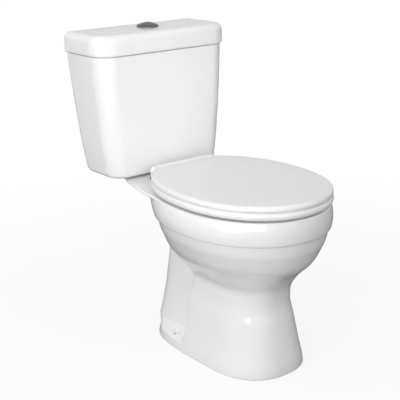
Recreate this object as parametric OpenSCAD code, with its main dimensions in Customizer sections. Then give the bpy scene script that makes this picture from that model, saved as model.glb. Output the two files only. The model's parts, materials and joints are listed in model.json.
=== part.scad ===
// Close coupled toilet: vitreous china pan and cistern, hinged seat and cover,
// dual flush push button, flush valve, side-hung fill valve and coupling kit.
// X is left to right seen from the front, -Y is the front, +Z is up, floor at Z = 0.
// A distance "d" in this file is measured forward from the wall, so y = wall_y - d.

/* [Overall] */
// Distance from the wall to the front of the seat
overall_depth = 676; // [650:1:700]
// Height of the rim and the deck of the pan above the floor
rim_height = 408; // [400:1:414]

/* [Pan] */
// Width of the bowl at its widest, just under the rim
bowl_width = 374; // [364:1:380]
// Width of the foot on the floor
foot_width = 236; // [226:1:244]
// Width of the pedestal at the waist under the bowl
waist_width = 170; // [160:1:180]
// Width of the trap housing behind the pedestal
trap_housing_width = 132; // [126:1:140]
// Thickness of the pan walls round the open foot
pan_wall = 13; // [11:0.5:14]
// Width of the opening inside the rim
rim_opening_width = 252; // [240:1:256]
// Depth of the step in under the rim band
rim_groove = 3.8; // [1:0.1:5]
// Outside diameter of the outlet spigot
outlet_diameter = 102; // [100:0.5:104]
// Distance of the outlet centre from the wall
outlet_from_wall = 262; // [260:1:264]
// Bore of the trapway
trap_bore = 48; // [44:1:50]
// Diameter of the floor fixing holes
floor_hole = 9; // [6:0.5:10]
// Width between the two seat fixing holes
seat_hole_spacing = 155; // [150:1:156]

/* [Cistern] */
// Width of the tank at its top
tank_width = 391; // [384:1:394]
// Width of the tank at its bottom
tank_base_width = 332; // [326:1:344]
// Depth of the tank, front to back
tank_depth = 163; // [160:1:165]
// Wall thickness of the tank
tank_wall = 11; // [9:0.5:12]
// Width of the cistern lid
lid_width = 400; // [397:1:408]
// Depth of the cistern lid
lid_depth = 168; // [166:1:169]
// Height of the tank body
tank_height = 305; // [302:1:308]
// Height of the lid above the top of the tank
lid_height = 54; // [51:1:57]
// Radius rolled round the top of the lid
lid_roll = 17; // [12:1:19]
// Width between the two coupling bolts
coupling_spacing = 140; // [138:1:144]
// Distance of the fill valve from the middle of the tank
fill_valve_offset = 115; // [112:1:118]
// Thread diameter of the water inlet tail, G 1/2
inlet_thread = 20.955; // [20.9:0.005:21]

/* [Seat] */
// Width of the seat
seat_width = 362; // [356:1:366]
// Thickness of the seat ring
ring_thickness = 19; // [18:0.5:19.5]
// Width of the opening in the seat ring
seat_opening = 226; // [216:1:232]
// Height of the rolled edge of the cover
cover_edge = 14; // [12:0.5:15]
// Radius of the hinge pins
hinge_pin_r = 4; // [3.5:0.1:4.5]

/* [Flush button] */
// Diameter of the chrome bezel
bezel_diameter = 57; // [52:0.5:60]
// Distance the buttons press in
button_travel = 7; // [5:0.5:7]

/* [Hidden] */
$fn = 64;
wall_y = overall_depth / 2;
body_gap = 0.3; // between different bodies
fit_gap = 0.06; // round a pin in its hole

// levels of the stack; heights in the file are for a rim 408 high, up() stretches those of the
// pan to the rim height and hi() lifts those above it
function up(z) = z * rim_height / 408;
function hi(z) = z + rim_height - 408;
rim_top = rim_height;
deck_height = rim_height;
tank_bottom = deck_height + 4;
tank_floor = tank_bottom + 12;
tank_top = tank_bottom + tank_height;
lid_top = tank_top + lid_height;
lid_land = tank_top + body_gap;
lid_edge = tank_top + 2.5;
ring_top = rim_top + 24;
ring_bottom = ring_top - ring_thickness;
cover_bottom = ring_top + 0.4;
cover_top = cover_bottom + cover_edge;
valve_d = 84; // cistern centre line, out from the wall
hinge_d = 216;
hinge_z = ring_top - 8;
bolt_x = seat_hole_spacing / 2;
hinge_x = bolt_x - 7.5; // each post leans in from its bolt
barrel_reach = 17.5; // ring barrel, out from the middle of the post
lug_x = 20.7; // cover lug, out from the middle of the post
seat_bolt_d = 196;
egg_d = 445; // widest line of the bowl and the seat
step_d = 347; // front edge of the side recess
egg_y = wall_y - egg_d;
glaze = [0.95, 0.95, 0.94];
plastic_white = [0.93, 0.93, 0.91];
chrome = [0.78, 0.79, 0.8];
rubber = [0.12, 0.12, 0.12];
brass = [0.8, 0.66, 0.35];
blue = [0.2, 0.42, 0.7];

// stations up the pan: height, half width, reach forward, reach back
pan_stations = [
  [0, foot_width / 2, 156, 276],
  [12, foot_width / 2 - 2, 156, 275],
  [60, foot_width / 2 - 13, 148, 258],
  [120, waist_width / 2 + 10, 136, 224],
  [175, waist_width / 2 + 1, 126, 182],
  [212, waist_width / 2, 131, 166],
  [240, waist_width / 2 + 34, 160, 197],
  [270, bowl_width / 2 - 46, 188, 209],
  [310, bowl_width / 2 - 24, 209, 214],
  [349, bowl_width / 2 - 5, 224, 224],
  [375, bowl_width / 2, 228, 236],
  [400, bowl_width / 2 - 4, 226, 248],
  [408, bowl_width / 2 - 7, 224, 252]
];
// stations up the trap housing: height, half width, distance of its back from the wall
housing_stations = [
  [0, trap_housing_width / 2 + 25, 186],
  [10, trap_housing_width / 2 + 23, 187],
  [60, trap_housing_width / 2 + 11, 192],
  [130, trap_housing_width / 2 + 2, 205],
  [185, trap_housing_width / 2, 215],
  [240, trap_housing_width / 2, 226],
  [300, trap_housing_width / 2, 238]
];
// stations up the tank: height, half width
tank_stations = [
  [tank_bottom, tank_base_width / 2],
  [tank_bottom + 28, tank_base_width / 2 + 4.5],
  [tank_bottom + 68, tank_base_width / 2 + 10.5],
  [tank_bottom + 118, tank_width / 2 - 14],
  [tank_top - 117, tank_width / 2 - 7.5],
  [tank_top - 37, tank_width / 2 - 2],
  [tank_top, tank_width / 2]
];
// levels where the pan skin has a ring of points
pan_levels = [
  0, 3, 12, 20, 25, 30, 35, 40, 45, 50, 75, 100, 130, 160, 185, 203, 209, 215, 222, 230,
  240, 254, 270, 288, 306, 324, 332, 340, 346, 350.5, 350.7, 351.6, 353.2, 355.5,
  366, 376, 386, 394, 400, 403, 405.6, 407.3, 408
];
// inside of the bowl from the sump, up behind the rim and out of the opening:
// height, half width, reach forward, reach back
rim_in = rim_opening_width / 2;
bowl_stations = [
  [164, 12, 22, 34], [168, 26, 40, 50], [178, 38, 56, 66], [190, 46, 70, 72], [197, 50, 77, 66],
  [203, 54, 83, 58], [215, 63, 96, 62], [240, 86, 124, 76], [267, 110, 150, 93],
  [300, 136, 178, 116], [330, 154, 196, 150], [350, 164, 205, 178], [362, 167, 209, 192],
  [384, 168, 210, 196], [391, 165, 207, 190], [394, 158, 200, 178],
  [394, rim_in + 17, 188, 152], [391, rim_in + 11, 182, 144], [386, rim_in + 10, 180, 142],
  [368, rim_in + 10, 180, 142], [363, rim_in + 8, 178, 140], [361, rim_in + 4, 174, 135],
  [363, rim_in + 1, 171, 132], [368, rim_in, 170, 131], [390, rim_in, 170, 131],
  [403, rim_in, 170, 131], [406, rim_in + 2, 172, 133], [408, rim_in + 6, 176, 137],
  [428, rim_in + 6, 176, 137]
];

// ---- shape helpers ----
function mix(a, b, t) = a + (b - a) * t;
function ease(t) = let (c = min(1, max(0, t))) c * c * (3 - 2 * c);
function chord(s, i, c) = (s[i + 1][c] - s[i][c]) / (s[i + 1][0] - s[i][0]);
function slope(s, i, c) =
  i == 0 ? chord(s, 0, c)
  : i == len(s) - 1 ? chord(s, i - 1, c)
  : let (a = s[i][0] - s[i - 1][0], b = s[i + 1][0] - s[i][0])
    (chord(s, i, c) * a + chord(s, i - 1, c) * b) / (a + b);
function span_of(s, z, i = 0) = i >= len(s) - 2 || z < s[i + 1][0] ? i : span_of(s, z, i + 1);
// smooth curve through column c of a list of stations
function along(s, zz, c) =
  let (z = min(max(zz, s[0][0]), s[len(s) - 1][0]), i = span_of(s, z), h = s[i + 1][0] - s[i][0])
  let (t = (z - s[i][0]) / h, t2 = t * t, t3 = t2 * t)
  (2 * t3 - 3 * t2 + 1) * s[i][c] + (t3 - 2 * t2 + t) * h * slope(s, i, c)
  + (3 * t2 - 2 * t3) * s[i + 1][c] + (t3 - t2) * h * slope(s, i + 1, c);
// radius of an egg outline at an angle: half width w, reach f forward and b back
function egg_r(a, w, f, b, nf, nb) =
  let (s = sin(a), l = s < 0 ? f : b, n = s < 0 ? nf : nb)
  pow(pow(abs(cos(a)) / w, n) + pow(abs(s) / l, n), -1 / n);
function egg_row(z, w, f, b, nf, nb, n) =
  [for (i = [0:n - 1])
      let (a = 360 * i / n, r = egg_r(a, w, f, b, nf, nb)) [r * cos(a), egg_y + r * sin(a), z]];

// closed skin over rows of points, first row at the bottom
module skin(rows) {
  n = len(rows[0]);
  m = len(rows);
  sides = [
    for (j = [0:m - 2], i = [0:n - 1], k = [0, 1])
      let (a = j * n + i, b = j * n + (i + 1) % n, c = a + n, d = b + n)
      k == 0 ? [a, d, b] : [a, c, d]
  ];
  polyhedron(
    [for (r = rows, p = r) p],
    concat([[for (i = [0:n - 1]) i]], sides, [[for (i = [n - 1:-1:0]) (m - 1) * n + i]])
  );
}
// closed skin round a ring of outlines, each row the next step round the outline
module ring_skin(rows) {
  n = len(rows[0]);
  m = len(rows);
  polyhedron(
    [for (r = rows, p = r) p],
    [
      for (j = [0:m - 1], i = [0:n - 1], k = [0, 1])
        let (a = j * n + i, b = j * n + (i + 1) % n)
        let (c = ((j + 1) % m) * n + i, d = ((j + 1) % m) * n + (i + 1) % n)
        k == 0 ? [a, d, b] : [a, c, d]
    ]
  );
}
// one fired piece of china
module china() {
  resize([0, 0, 0]) children();
}
module at(x, d, z) {
  translate([x, wall_y - d, z]) children();
}
module tube(r, bore, h) {
  difference() {
    cylinder(r = r, h = h);
    translate([0, 0, -1]) cylinder(r = bore, h = h + 2);
  }
}
module both_sides() {
  for (s = [-1, 1]) scale_x(s) children();
}
module scale_x(s) {
  if (s < 0) mirror([1, 0, 0]) children();
  else children();
}

// ---- pan ----
function pan_w(z) = along(pan_stations, z, 1);
// the rim band rounds in to a step, and the bowl runs on below it without a lip
function groove(z) =
  z > 355.5 ? 0
  : z > 350.5 ? rim_groove * (1 - sqrt(1 - pow((355.5 - z) / 5, 2)))
  : rim_groove * (1 - ease((350.5 - z) / 28));
function edge_in(z) = z < 3 ? 2 * (1 - z / 3) : z > 403 ? 5 - sqrt(25 - pow(z - 403, 2)) : 0;
// front bulge exponent goes from a squarer foot to a rounder bowl
function front_n(z) = mix(2.5, 2.1, ease((z - 190) / 80));
function back_n(z) = mix(3.2, 2.3, ease((z - 190) / 80));
function pan_egg(z, a, o) =
  let (i = o + groove(z) + edge_in(z))
  let (f = along(pan_stations, z, 2) - i, b = along(pan_stations, z, 3) - i)
  egg_r(a, pan_w(z) - i, f, b, front_n(z), back_n(z));
// radius of the pan skin about the widest line; o sets it inward
function pan_r(z, a, o) =
  let (e = pan_egg(z, a, o), s = sin(a))
  s <= 0.001 ? e
  : let (
      hw = along(housing_stations, z, 1) - o,
      // the hollow's back wall is thinner than its sides, for the outlet's room
      hd = egg_d - along(housing_stations, z, 2) - max(0, o - 5),
      house = pow(pow(abs(cos(a)) / hw, 10) + pow(s / hd, 10), -0.1),
      step = (egg_d - step_d - o) / s,
      foot = pow(pow(e, -14) + pow(hd / s, -14), -1 / 14),
      pedestal = mix(foot, max(min(e, step), house), ease((z - 20) / 28)),
      t = ease((z - 205) / 30)
    )
    mix(pedestal, max(e, house), t);
// angles of the skin points from the side to the back, crowded at the recess corners
function back_angles(z, o) =
  let (
    w = pan_w(z) - o,
    b = along(pan_stations, z, 3) - o,
    st = egg_d - step_d - o,
    xe = w * pow(1 - pow(st / b, back_n(z)), 1 / back_n(z)),
    te = atan2(st, xe),
    tj = atan2(st, along(housing_stations, z, 1) - o)
  )
  [
    0, te * 0.25, te * 0.5, te * 0.75, te - 1.2, te, mix(te, tj, 0.5), tj,
    mix(tj, 90, 0.15), mix(tj, 90, 0.3), mix(tj, 90, 0.42), mix(tj, 90, 0.55), mix(tj, 90, 0.75), 90
  ];
function pan_row(z, o, nf) =
  let (q = back_angles(z, o), k = len(q) - 1)
  let (angles = concat(q, [for (i = [k - 1:-1:0]) 180 - q[i]], [for (i = [1:nf - 1]) 180 + 180 * i / nf]))
  [for (a = angles) let (r = pan_r(z, a, o)) [r * cos(a), egg_y + r * sin(a), up(z)]];

module pan_skin() {
  skin([for (z = pan_levels) pan_row(z, 0, 24)]);
}
// the foot is open underneath
module foot_hollow() {
  skin([
    for (l = [[-1, 0], [20, 0], [48, 0], [80, 0], [110, 0], [126, 3], [135, 9], [139, 18]])
      [for (p = pan_row(max(l[0], 0), pan_wall + l[1], 16)) [p[0], p[1], up(l[0])]]
  ]);
}
module bowl_hollow() {
  skin([for (s = bowl_stations) egg_row(up(s[0]), s[1], s[2], s[3], 2.1, s[0] > 250 ? 2.3 : 2.1, 40)]);
}
// deck behind the bowl: clear of the inlet at the back, then flaring to run into the rim;
// its edge is thin and the underside slopes in from it
deck_back = 26;
deck_stations = [
  [26, 95], [102, 97], [118, 108], [136, 121], [155, 130], [200, 143], [246, 156], [275, 161], [330, 165]
];
function deck_half(d) = along(deck_stations, d, 1);
function deck_row(d, o) =
  let (w = deck_half(d) - o, zt = deck_height - o * 0.5, zb = deck_height - 24 + o)
  let (c = mix(8, 34, ease((d - 104) / 36)), h = zt - zb - 6)
  let (
    side = [
      [w - c, zb], [w - c * 0.6, zb + h * 0.39], [w - c * 0.24, zb + h * 0.78], [w - c * 0.06, zb + h],
      [w, zt - 3], [w - 0.7, zt - 1], [w - 3, zt]
    ],
    other = [for (i = [len(side) - 1:-1:0]) [-side[i][0], side[i][1]]]
  )
  [for (p = concat(side, other)) [p[0], wall_y - d, p[1]]];
module deck() {
  spots = [36, 60, 84, 102, 110, 118, 127, 136, 146, 155, 170, 185, 200, 222, 246, 262, 275, 302, 330];
  rows = [for (d = spots) deck_row(d, 0)];
  skin(concat([deck_row(deck_back, 7), deck_row(deck_back + 2.5, 3)], rows));
}
// water horn under the deck, from the inlet to the rim channel
function horn_row(d, w, zb) =
  [for (p = [
      [w * 0.55, zb], [w * 0.85, zb + 5], [w, zb + 16], [w, 396],
      [-w, 396], [-w, zb + 16], [-w * 0.85, zb + 5], [-w * 0.55, zb]
    ]) [p[0], wall_y - d, hi(p[1])]];
module horn() {
  skin([
    horn_row(30, 38, 378), horn_row(36, 46, 368), horn_row(50, 52, 361), horn_row(90, 56, 358),
    horn_row(140, 55, 356), horn_row(190, 55, 354), horn_row(240, 57, 350), horn_row(300, 58, 348)
  ]);
}
module flush_passage() {
  function row(d, w, zb, zt) =
    [for (p = [
        [w - 8, zb], [w, zb + 8], [w, zt - 8], [w - 8, zt],
        [8 - w, zt], [-w, zt - 8], [-w, zb + 8], [8 - w, zb]
      ]) [p[0], wall_y - d, hi(p[1])]];
  skin([
    row(valve_d, 30, 370, 392.4), row(180, 32, 369, 392.2), row(235, 40, 369, 391.6), row(268, 46, 369, 391)
  ]);
}
// trapway from the sump, up over the weir and down to the outlet: distance, height
weir_d = outlet_from_wall + 30;
trap_path = concat(
  [[402, up(183)], [384, up(184)], [370, up(188)], [357, up(199)], [346, up(214)], [332, up(238)]],
  [for (a = [30:20:170]) [weir_d + 30 * cos(a), up(240) + 30 * sin(a)]],
  [[outlet_from_wall, up(232)], [outlet_from_wall, up(190)], [outlet_from_wall, up(144)]]
);
function heading(p, i) =
  let (a = p[max(i - 1, 0)], b = p[min(i + 1, len(p) - 1)], v = b - a)
  v / norm(v);
module trapway() {
  skin([
    for (i = [0:len(trap_path) - 1])
      let (h = heading(trap_path, i), p = trap_path[i], r = trap_bore / 2)
      [for (k = [0:17]) let (a = -20 * k)
          [r * cos(a), wall_y - p[0] - r * sin(a) * h[1], p[1] - r * sin(a) * h[0]]]
  ]);
}
module pan() {
  leg_r = trap_bore / 2 + 12;
  color(glaze)
    difference() {
      union() {
        china()
          difference() {
            union() {
              pan_skin();
              deck();
              horn();
            }
            foot_hollow();
            bowl_hollow();
            flush_passage();
            trapway();
          }
        at(0, outlet_from_wall, 66) cylinder(r = leg_r, h = up(150) - 66);
        at(0, outlet_from_wall, 8) cylinder(d = outlet_diameter, h = 68);
      }
      at(0, outlet_from_wall, 6) cylinder(r = outlet_diameter / 2 - 9, h = 54);
      at(0, outlet_from_wall, 50) cylinder(r = trap_bore / 2 + 1, h = up(150) - 50);
      at(0, valve_d, hi(372)) cylinder(r = 46, h = 60);
      at(0, valve_d, deck_height - 5) cylinder(r = 62, h = 20);
      for (s = [-1, 1]) {
        at(s * coupling_spacing / 2, valve_d, hi(370)) cylinder(r = 5.5, h = 60);
        // pocket under the deck for the coupling nut
        at(s * coupling_spacing / 2, valve_d, hi(370)) cylinder(r = 13, h = 26);
        at(s * bolt_x, seat_bolt_d, hi(370)) cylinder(r = 6, h = 60);
        at(s * 97, 300, -1) cylinder(d = floor_hole, h = 60);
        at(s * 97, 300, 33) cylinder(r = 11, h = 40);
      }
    }
}

// ---- cistern ----
// rounded outline with a bowed front: half width, depth, front and back corner radii, back set off the wall
function box_row(z, w, dep, rf, rb, bow, back, o) =
  let (
    hw = w - o,
    front = dep - o,
    rear = back + o,
    f = max(rf - o, 2),
    b = max(rb - o, 2),
    raw = concat(
      [for (i = [0:6]) let (a = 15 * i) [hw - b + b * cos(a), rear + b - b * sin(a)]],
      [for (i = [6:-1:0]) let (a = 15 * i) [-hw + b - b * cos(a), rear + b - b * sin(a)]],
      [for (i = [0:8]) let (a = 11.25 * i) [-hw + f - f * cos(a), front - f + f * sin(a)]],
      [for (t = [-0.5, 0, 0.5]) [t * (hw - f), front]],
      [for (i = [8:-1:0]) let (a = 11.25 * i) [hw - f + f * cos(a), front - f + f * sin(a)]]
    )
  )
  [for (p = raw)
      [p[0], wall_y - p[1] - bow * (1 - pow(p[0] / w, 2)) * pow(max(0, p[1] / dep), 2), z]];
function tank_row(z, o) =
  let (
    t = (z - tank_bottom) / (tank_top - tank_bottom),
    q = max(0, 12 - (z - tank_bottom)),
    i = o + 12 - sqrt(144 - q * q) + (z > tank_top - 2 ? 1.2 * (z - tank_top + 2) / 2 : 0)
  )
  let (dep = mix(tank_depth - 2, tank_depth, min(1, t * 2)))
  box_row(z, along(tank_stations, z, 1), dep, mix(38, 47, t), mix(40, 13, t), 2, mix(8, 4, t), i);
module cistern_tank() {
  inner = [
    [tank_floor, 8], [tank_floor + 3, 3], [tank_floor + 8, 0], [tank_bottom + 68, 0],
    [tank_bottom + 128, 0], [tank_top - 97, 0], [tank_top - 3, 0]
  ];
  levels = [0, 1.2, 3.5, 7, 12, 28, 50, 80, 118, 160, 210, 260, tank_height - 2, tank_height];
  color(glaze)
    difference() {
      china()
        difference() {
          skin([for (z = levels) tank_row(tank_bottom + z, 0)]);
          skin(concat(
            [for (l = inner) tank_row(l[0], tank_wall + l[1])],
            [[for (p = tank_row(tank_top - 3, tank_wall - 1)) [p[0], p[1], tank_top + 4]]]
          ));
        }
      at(0, valve_d, tank_bottom - 1) cylinder(r = 31.5, h = 20);
      at(fill_valve_offset, valve_d, tank_bottom - 1) cylinder(r = 11.5, h = 20);
      for (s = [-1, 1]) {
        at(s * coupling_spacing / 2, valve_d, tank_bottom - 1) cylinder(r = 5.5, h = 20);
        at(s * 120, 30, tank_top - 77) rotate([-90, 0, 0]) cylinder(r = 4.5, h = 60);
      }
    }
}
function lid_row(z, o) = box_row(z, lid_width / 2, lid_depth, 50, 14, 3, 0, o);
lid_under = lid_top - 14;
lid_roll_rows = [for (a = [0:15:75]) [lid_top - 1.5 - lid_roll * (1 - sin(a)), lid_roll * (1 - cos(a))]];
module cistern_lid() {
  outer = concat(
    [[lid_land - 7, 19], [lid_land, 18], [lid_land + 0.02, 11], [lid_edge - 0.6, 10.6], [lid_edge - 0.5, 4]],
    [[lid_edge + 0.4, 1.8], [lid_edge + 2.2, 0.4], [lid_edge + 5, 0]],
    lid_roll_rows,
    [[lid_top - 1.4, lid_roll + 3], [lid_top - 0.4, lid_roll + 24], [lid_top, lid_roll + 50]]
  );
  inner = [
    [lid_land - 9, 28], [lid_edge + 8, 27], [lid_under - 8, 22], [lid_under - 2, 25], [lid_under, 32]
  ];
  color(glaze)
    difference() {
      china()
        difference() {
          skin([for (l = outer) lid_row(l[0], l[1])]);
          skin([for (l = inner) lid_row(l[0], l[1])]);
        }
      at(0, valve_d, lid_top - 31) cylinder(r = 20.5, h = 50);
    }
}

// ---- seat ----
seat_reach = overall_depth - egg_d;
seat_back = egg_d - hinge_d + 8;
// outline of the seat, cut straight across at the back; o sets it inward
function seat_row(z, o, back, n) =
  [for (i = [0:n - 1])
      let (
        a = 360 * i / n,
        r = egg_r(a, seat_width / 2 - o, seat_reach - o, 246 - o, 2.1, 2.25),
        s = max(sin(a), 0.001),
        c = sin(a) > 0 ? pow(pow(r, -24) + pow(back / s, -24), -1 / 24) : r
      )
      [c * cos(a), egg_y + c * sin(a), z]];
function opening_row(z, o, n) =
  egg_row(z, seat_opening / 2 + o, 160 + o, 116 + o, 2.1, 2.2, n);
// hole along the line of one hinge pin
module pin_line(s, r) {
  at(s * hinge_x - 60, hinge_d, hinge_z) rotate([0, 90, 0]) cylinder(r = r, h = 120);
}
module seat_ring() {
  n = 56;
  // closed outline of the ring's section, from the outer edge over the top and back underneath
  b = ring_bottom;
  t = ring_top;
  outer = [[b, 6], [b + 1.5, 2.2], [b + 6, -0.3], [b + 10, -1], [t - 4, 0.6], [t - 1.2, 3.4], [t, 8]];
  inner = [[t, 9], [t - 1.6, 4], [t - 5, 1], [t - 10, 0], [b + 2, 1.5], [b, 4]];
  color(plastic_white)
    difference() {
      union() {
        china()
          ring_skin(concat(
            [for (l = outer) seat_row(l[0], l[1], seat_back - 8, n)],
            [for (l = inner) opening_row(l[0], l[1], n)]
          ));
        // hinge barrels each side of the post
        for (s = [-1, 1])
          at(s * hinge_x - barrel_reach, hinge_d, hinge_z) {
            rotate([0, 90, 0]) cylinder(r = 8, h = barrel_reach * 2);
            translate([0, -30, -8]) cube([barrel_reach * 2, 30, 16]);
          }
      }
      for (s = [-1, 1]) {
        pin_line(s, hinge_pin_r + fit_gap);
        // notches for the post and for the two cover lugs
        at(s * hinge_x, hinge_d, hinge_z) translate([-12.5, -14, -20]) cube([25, 40, 40]);
        for (t = [-1, 1])
          at(s * hinge_x + t * lug_x, hinge_d, hinge_z) translate([-3.1, -11, -20]) cube([6.2, 40, 40]);
      }
      for (p = ring_pads)
        for (s = [-1, 1])
          at(s * p[0], p[1], ring_bottom - 1) cylinder(r = 5, h = 4);
    }
}
// a share of the seat's half width at a distance back from its front
function pad_x(share, back) = share * seat_width / 2 * sqrt(1 - pow(1 - back / seat_reach, 2));
ring_pads = [[142, 470], [pad_x(0.6, 68), egg_d + seat_reach - 68]];
cover_pads = [[150, 400], [pad_x(0.72, 36), egg_d + seat_reach - 36]];
module ring_buffers() {
  color(plastic_white)
    for (p = ring_pads)
      for (s = [-1, 1]) {
        at(s * p[0], p[1], rim_top + body_gap) cylinder(r = 9, h = ring_bottom - rim_top - body_gap);
        at(s * p[0], p[1], ring_bottom - 0.5) cylinder(r = 5, h = 3.3);
      }
}
// raised roll across the back of the cover, over the hinges, rounded off at its ends
roll_r = 17;
roll_half = hinge_x + 24.5;
module hinge_roll() {
  intersection() {
    at(0, hinge_d + 3, cover_bottom) {
      translate([-roll_half + 13, 0, 0]) rotate([0, 90, 0]) cylinder(r = roll_r, h = roll_half * 2 - 26);
      for (s = [-1, 1])
        translate([s * (roll_half - 13), 0, 0])
          rotate([0, s * 90, 0]) {
            cylinder(r1 = roll_r, r2 = 16, h = 5);
            translate([0, 0, 5]) cylinder(r1 = 16, r2 = 13.4, h = 4);
            translate([0, 0, 9]) cylinder(r1 = 13.4, r2 = 9.5, h = 2.6);
            translate([0, 0, 11.6]) cylinder(r1 = 9.5, r2 = 5, h = 1.4);
          }
    }
    at(-110, hinge_d + 30, cover_bottom) cube([220, 60, 40]);
  }
}
module seat_cover() {
  n = 64;
  under = cover_bottom + 8.6;
  b = cover_bottom;
  t = cover_top;
  top = [
    [b, 3], [b + 1, 0.9], [b + 3.4, 0], [b + 8, 0.3], [t - 3.2, 1.3], [t - 1.4, 2.9], [t - 0.4, 5.4], [t, 9],
    [t + 0.45, 22], [t + 0.95, 42], [t + 1.4, 68], [t + 1.8, 110]
  ];
  hollow = [[b - 1, 10.5], [b + 2, 10.5], [under - 1, 12.5], [under, 17], [under + 1.2, 60]];
  color(plastic_white)
    difference() {
      union() {
        china()
          difference() {
            skin([for (l = top) seat_row(l[0], l[1], seat_back + 1 - min(l[1], 30) * 0.35, n)]);
            skin([for (l = hollow) seat_row(l[0], l[1], seat_back - 6, n)]);
          }
        hinge_roll();
        // hinge lugs reach down past the ring
        for (s = [-1, 1])
          for (t = [-1, 1])
            at(s * hinge_x + t * lug_x - 2.5, hinge_d, hinge_z) {
              rotate([0, 90, 0]) cylinder(r = 8, h = 5);
              translate([0, -8, 0]) cube([5, 16, cover_bottom - hinge_z + 5]);
            }
      }
      for (s = [-1, 1]) {
        pin_line(s, hinge_pin_r + fit_gap);
        // room for the post under the roll
        at(s * hinge_x, hinge_d, hinge_z) translate([-13.5, -18, -20]) cube([27, 40, 40.5]);
      }
    }
}
module cover_buffers() {
  under = cover_bottom + 8.6;
  color(plastic_white)
    for (p = cover_pads)
      for (s = [-1, 1])
        at(s * p[0], p[1], ring_top + body_gap) cylinder(r = 6, h = under - ring_top - body_gap + 0.9);
}
module hinge_post(s) {
  color(chrome)
    difference() {
      union() {
        at(s * hinge_x, 208, deck_height) {
          translate([-13, -16, 0]) cube([26, 30, 4]);
          translate([0, 14, 0]) cylinder(r = 13, h = 4);
        }
        at(s * hinge_x - 10, hinge_d + 8, deck_height + 3) cube([20, 16, hinge_z - deck_height - 3]);
        at(s * hinge_x - 10, hinge_d, hinge_z) rotate([0, 90, 0]) cylinder(r = 8, h = 20);
      }
      pin_line(s, hinge_pin_r);
      at(s * bolt_x, seat_bolt_d, deck_height - 1) cylinder(r = 4, h = 10);
    }
}
module left_hinge_post() {
  hinge_post(-1);
}
module right_hinge_post() {
  hinge_post(1);
}
module hinge_pin(s) {
  color(chrome)
    at(s * hinge_x - 23.2, hinge_d, hinge_z) rotate([0, 90, 0]) cylinder(r = hinge_pin_r, h = 46.4);
}
module left_hinge_pin() {
  hinge_pin(-1);
}
module right_hinge_pin() {
  hinge_pin(1);
}
module seat_bolts() {
  color(plastic_white)
    for (s = [-1, 1])
      at(s * bolt_x, seat_bolt_d, deck_height - 56) {
        cylinder(r = 4, h = 60);
        translate([0, 0, 60]) cylinder(r = 5.4, h = 1.6);
      }
}
module seat_bolt_washers() {
  color(rubber)
    for (s = [-1, 1])
      at(s * bolt_x, seat_bolt_d, deck_height - 28.3) tube(11.5, 4 + fit_gap, 4);
}
module wing_nut(r, h, reach) {
  cylinder(r = r, h = h);
  translate([-reach, -1.6, -h * 0.35]) cube([reach * 2, 3.2, h * 1.1]);
}
module seat_wing_nuts() {
  color(plastic_white)
    for (s = [-1, 1])
      at(s * bolt_x, seat_bolt_d, deck_height - 38.5)
        difference() {
          wing_nut(9.5, 10, 15);
          translate([0, 0, -10]) cylinder(r = 4, h = 30);
        }
}

// ---- coupling ----
module coupling_gasket() {
  color(rubber)
    at(0, valve_d, deck_height - 5 + 0.1)
      rotate_extrude()
        polygon([[44.5, 0], [61, 0], [61, 5], [57, 8.7], [47, 8.7], [44.5, 6]]);
}
module coupling_bolts() {
  color(brass)
    for (s = [-1, 1])
      at(s * coupling_spacing / 2, valve_d, deck_height - 24) {
        cylinder(r = 4, h = tank_floor - deck_height + 29);
        translate([0, 0, tank_floor - deck_height + 28.2]) cylinder(r = 9, h = 4);
      }
}
module coupling_seals() {
  color(rubber)
    for (s = [-1, 1])
      at(s * coupling_spacing / 2, valve_d, tank_floor + 0.1) tube(10.5, 4 + fit_gap, 4);
}
module coupling_washers() {
  color(brass)
    for (s = [-1, 1])
      at(s * coupling_spacing / 2, valve_d, deck_height - 14.3) tube(10, 4 + fit_gap, 2.1);
}
module coupling_wing_nuts() {
  color(brass)
    for (s = [-1, 1])
      at(s * coupling_spacing / 2, valve_d, deck_height - 20.6)
        difference() {
          rotate([0, 0, 90]) wing_nut(7.5, 6, 11.5);
          translate([0, 0, -10]) cylinder(r = 4, h = 30);
        }
}

// ---- flush valve ----
valve_flange = tank_floor + 2.8;
seat_lip = valve_flange + 10;
cage_top = valve_flange + 48;
module flush_valve_base() {
  color(plastic_white)
    difference() {
      union() {
        at(0, valve_d, valve_flange) cylinder(r = 41, h = 6);
        at(0, valve_d, deck_height - 12) cylinder(r = 30.5, h = valve_flange - deck_height + 13);
        at(0, valve_d, valve_flange + 5) cylinder(r = 29.5, h = 5);
        at(0, valve_d, cage_top - 6)
          difference() {
            cylinder(r = 40, h = 6);
            translate([0, 0, -1]) cylinder(r = 35.5, h = 8);
          }
        for (a = [45:90:315])
          at(0, valve_d, valve_flange + 5)
            rotate([0, 0, a]) translate([35.5, -4, 0]) cube([4, 8, cage_top - valve_flange - 7]);
      }
      at(0, valve_d, deck_height - 18) cylinder(r = 26, h = seat_lip - deck_height + 19);
    }
}
module flush_valve_washer() {
  color(rubber)
    at(0, valve_d, tank_floor + 0.1) tube(40, 30.5 + fit_gap, 2.6);
}
module flush_valve_nut() {
  color(plastic_white)
    at(0, valve_d, deck_height - 8)
      difference() {
        cylinder(r = 43, h = 11.8, $fn = 8);
        translate([0, 0, -1]) cylinder(r = 30.5, h = 14);
      }
}
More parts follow.
